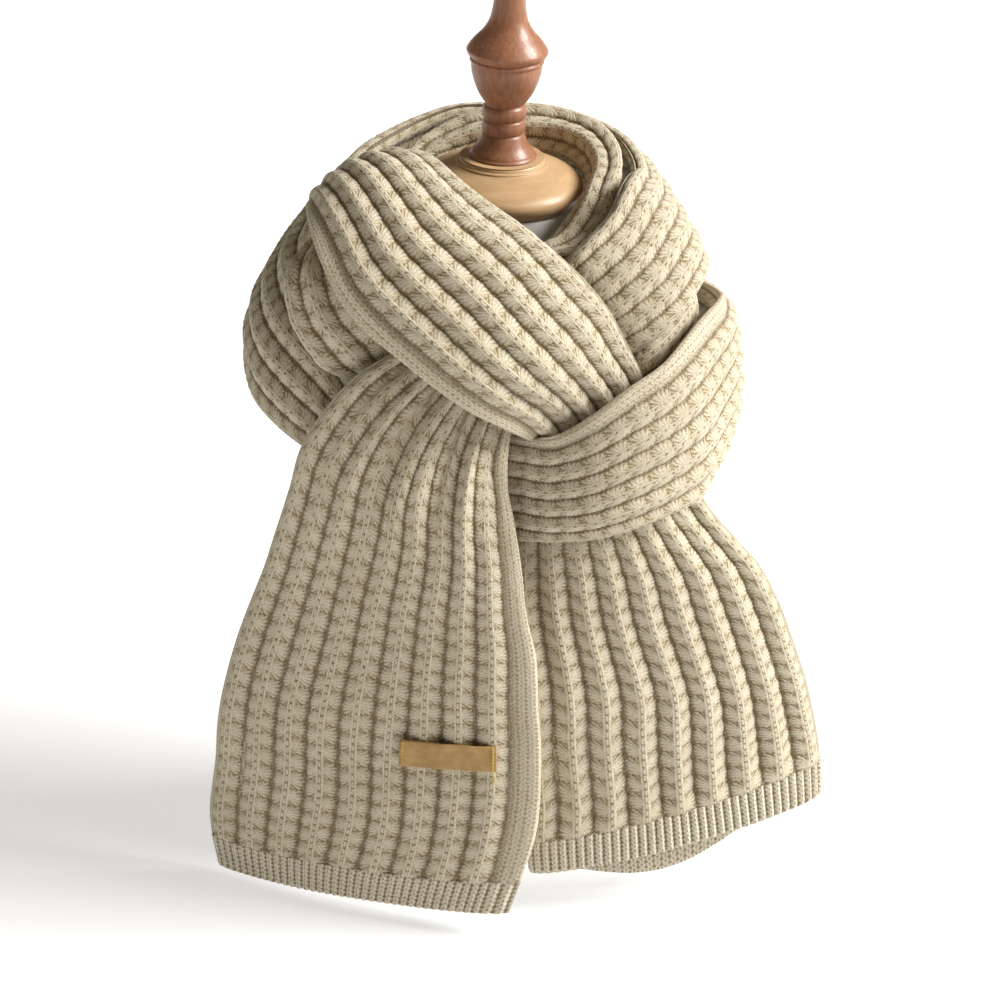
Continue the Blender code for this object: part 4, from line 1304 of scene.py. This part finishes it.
def dress_form():
    torso = torso_piece(linen_finish())
    cap_wood = wood_finish("cap_wood", CAP_LIGHT, CAP_DARK, roughness=0.48, coat=0.15,
                           stretch=CAP_GRAIN, speck=0.2, knot=CAP_KNOT)
    cap = turned_piece("turned_neck_cap", rounded(CAP_PROFILE, 3), CAP_HEIGHT, cap_wood)
    finial_wood = wood_finish("finial_wood", FINIAL_LIGHT, FINIAL_DARK, roughness=0.42, coat=0.22,
                              stretch=FINIAL_GRAIN, speck=0.15)
    finial = turned_piece("turned_finial", rounded(FINIAL_PROFILE, 4), CAP_HEIGHT, finial_wood)
    for piece, node, slot in ((torso, "form_body", "form_cloth"), (cap, "neck_cap", "cap_wood"),
                              (finial, "finial", "finial_wood")):
        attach(piece, "root")
        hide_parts(node)


# ---------------------------------------------------------------- studio

LENS, SENSOR = 86.4, 36.0
CAMERA_PLACE = (0.010, -1.513, 1.075)
PITCH, ROLL = math.radians(28.0), math.radians(2.9)
FLOOR_GREY, FLOOR_GLOW = 0.50, 0.60
SKY_COLOUR, SKY_STRENGTH = (1.0, 0.88, 0.66, 1.0), 0.14


def camera():
    data = bpy.data.cameras.new("camera")
    data.lens, data.sensor_width = LENS, SENSOR
    data.clip_start, data.clip_end = 0.05, 100.0
    thing = bpy.data.objects.new("camera", data)
    bpy.context.scene.collection.objects.link(thing)
    right = Vector((1, 0, 0))
    ahead = Vector((0, math.cos(PITCH), -math.sin(PITCH)))
    up = right.cross(ahead)
    turned_right = right * math.cos(ROLL) + up * math.sin(ROLL)
    turned_up = up * math.cos(ROLL) - right * math.sin(ROLL)
    axes = Matrix((turned_right, turned_up, -ahead)).transposed()
    thing.matrix_world = Matrix.Translation(CAMERA_PLACE) @ axes.to_4x4()
    bpy.context.scene.camera = thing


def sun(name, strength, azimuth, elevation, softness, colour):
    data = bpy.data.lights.new(name, "SUN")
    data.energy, data.angle, data.color = strength, math.radians(softness), colour
    thing = bpy.data.objects.new(name, data)
    bpy.context.scene.collection.objects.link(thing)
    a, e = math.radians(azimuth), math.radians(elevation)
    towards = Vector((math.sin(a) * math.cos(e), -math.cos(a) * math.cos(e), math.sin(e)))
    thing.rotation_euler = towards.to_track_quat("Z", "Y").to_euler()


def studio():
    camera()
    bpy.ops.mesh.primitive_plane_add(size=60.0)
    floor = bpy.context.object
    floor.name = "studio_floor"
    floor.data.materials.append(floor_finish())
    world = bpy.data.worlds.new("studio")
    bpy.context.scene.world = world
    world.use_nodes = True
    sky = world.node_tree.nodes["Background"]
    sky.inputs["Color"].default_value = SKY_COLOUR
    sky.inputs["Strength"].default_value = SKY_STRENGTH
    sun("key", strength=5.9, azimuth=91.0, elevation=38.0, softness=28.0, colour=(1.0, 0.985, 0.965))
    bpy.context.scene.view_settings.view_transform = "Standard"


# ---------------------------------------------------------------- the part

def scarf():
    grid, thick, ranges = lay_route()
    folds = {}
    for name, table in FOLDS.items():
        rows = np.array(table, dtype=float)
        folds[name] = middle_surface(smooth_rows(rows, stations(rows)))
    settle(grid, thick, ranges, folds)
    cloth = Cloth(grid, thick, (ranges["hem_right"][1], ranges["hem_left"][0]))
    ribbed, hemmed = knit_finish("oatmeal_knit", False), knit_finish("oatmeal_hem", True)
    made = {}
    for name in ranges:
        made[name] = stretch_piece(name, cloth, ranges, hemmed if name.startswith("hem") else ribbed)
    for name, (fold_grid, fold_thick) in folds.items():
        made[name] = fold_piece(name, Cloth(fold_grid, fold_thick), ribbed)
    label = label_piece(cloth, ranges["tail_left"], leather_finish())
    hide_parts("label")
    for piece in [label] + stitch_pieces(cloth, ranges["tail_left"], thread_finish()):
        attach(piece, "root")
    for piece, (width, length) in made.values():
        width * MM
        length * MM


dress_form()
scarf()
studio()
bpy.context.view_layer.update()
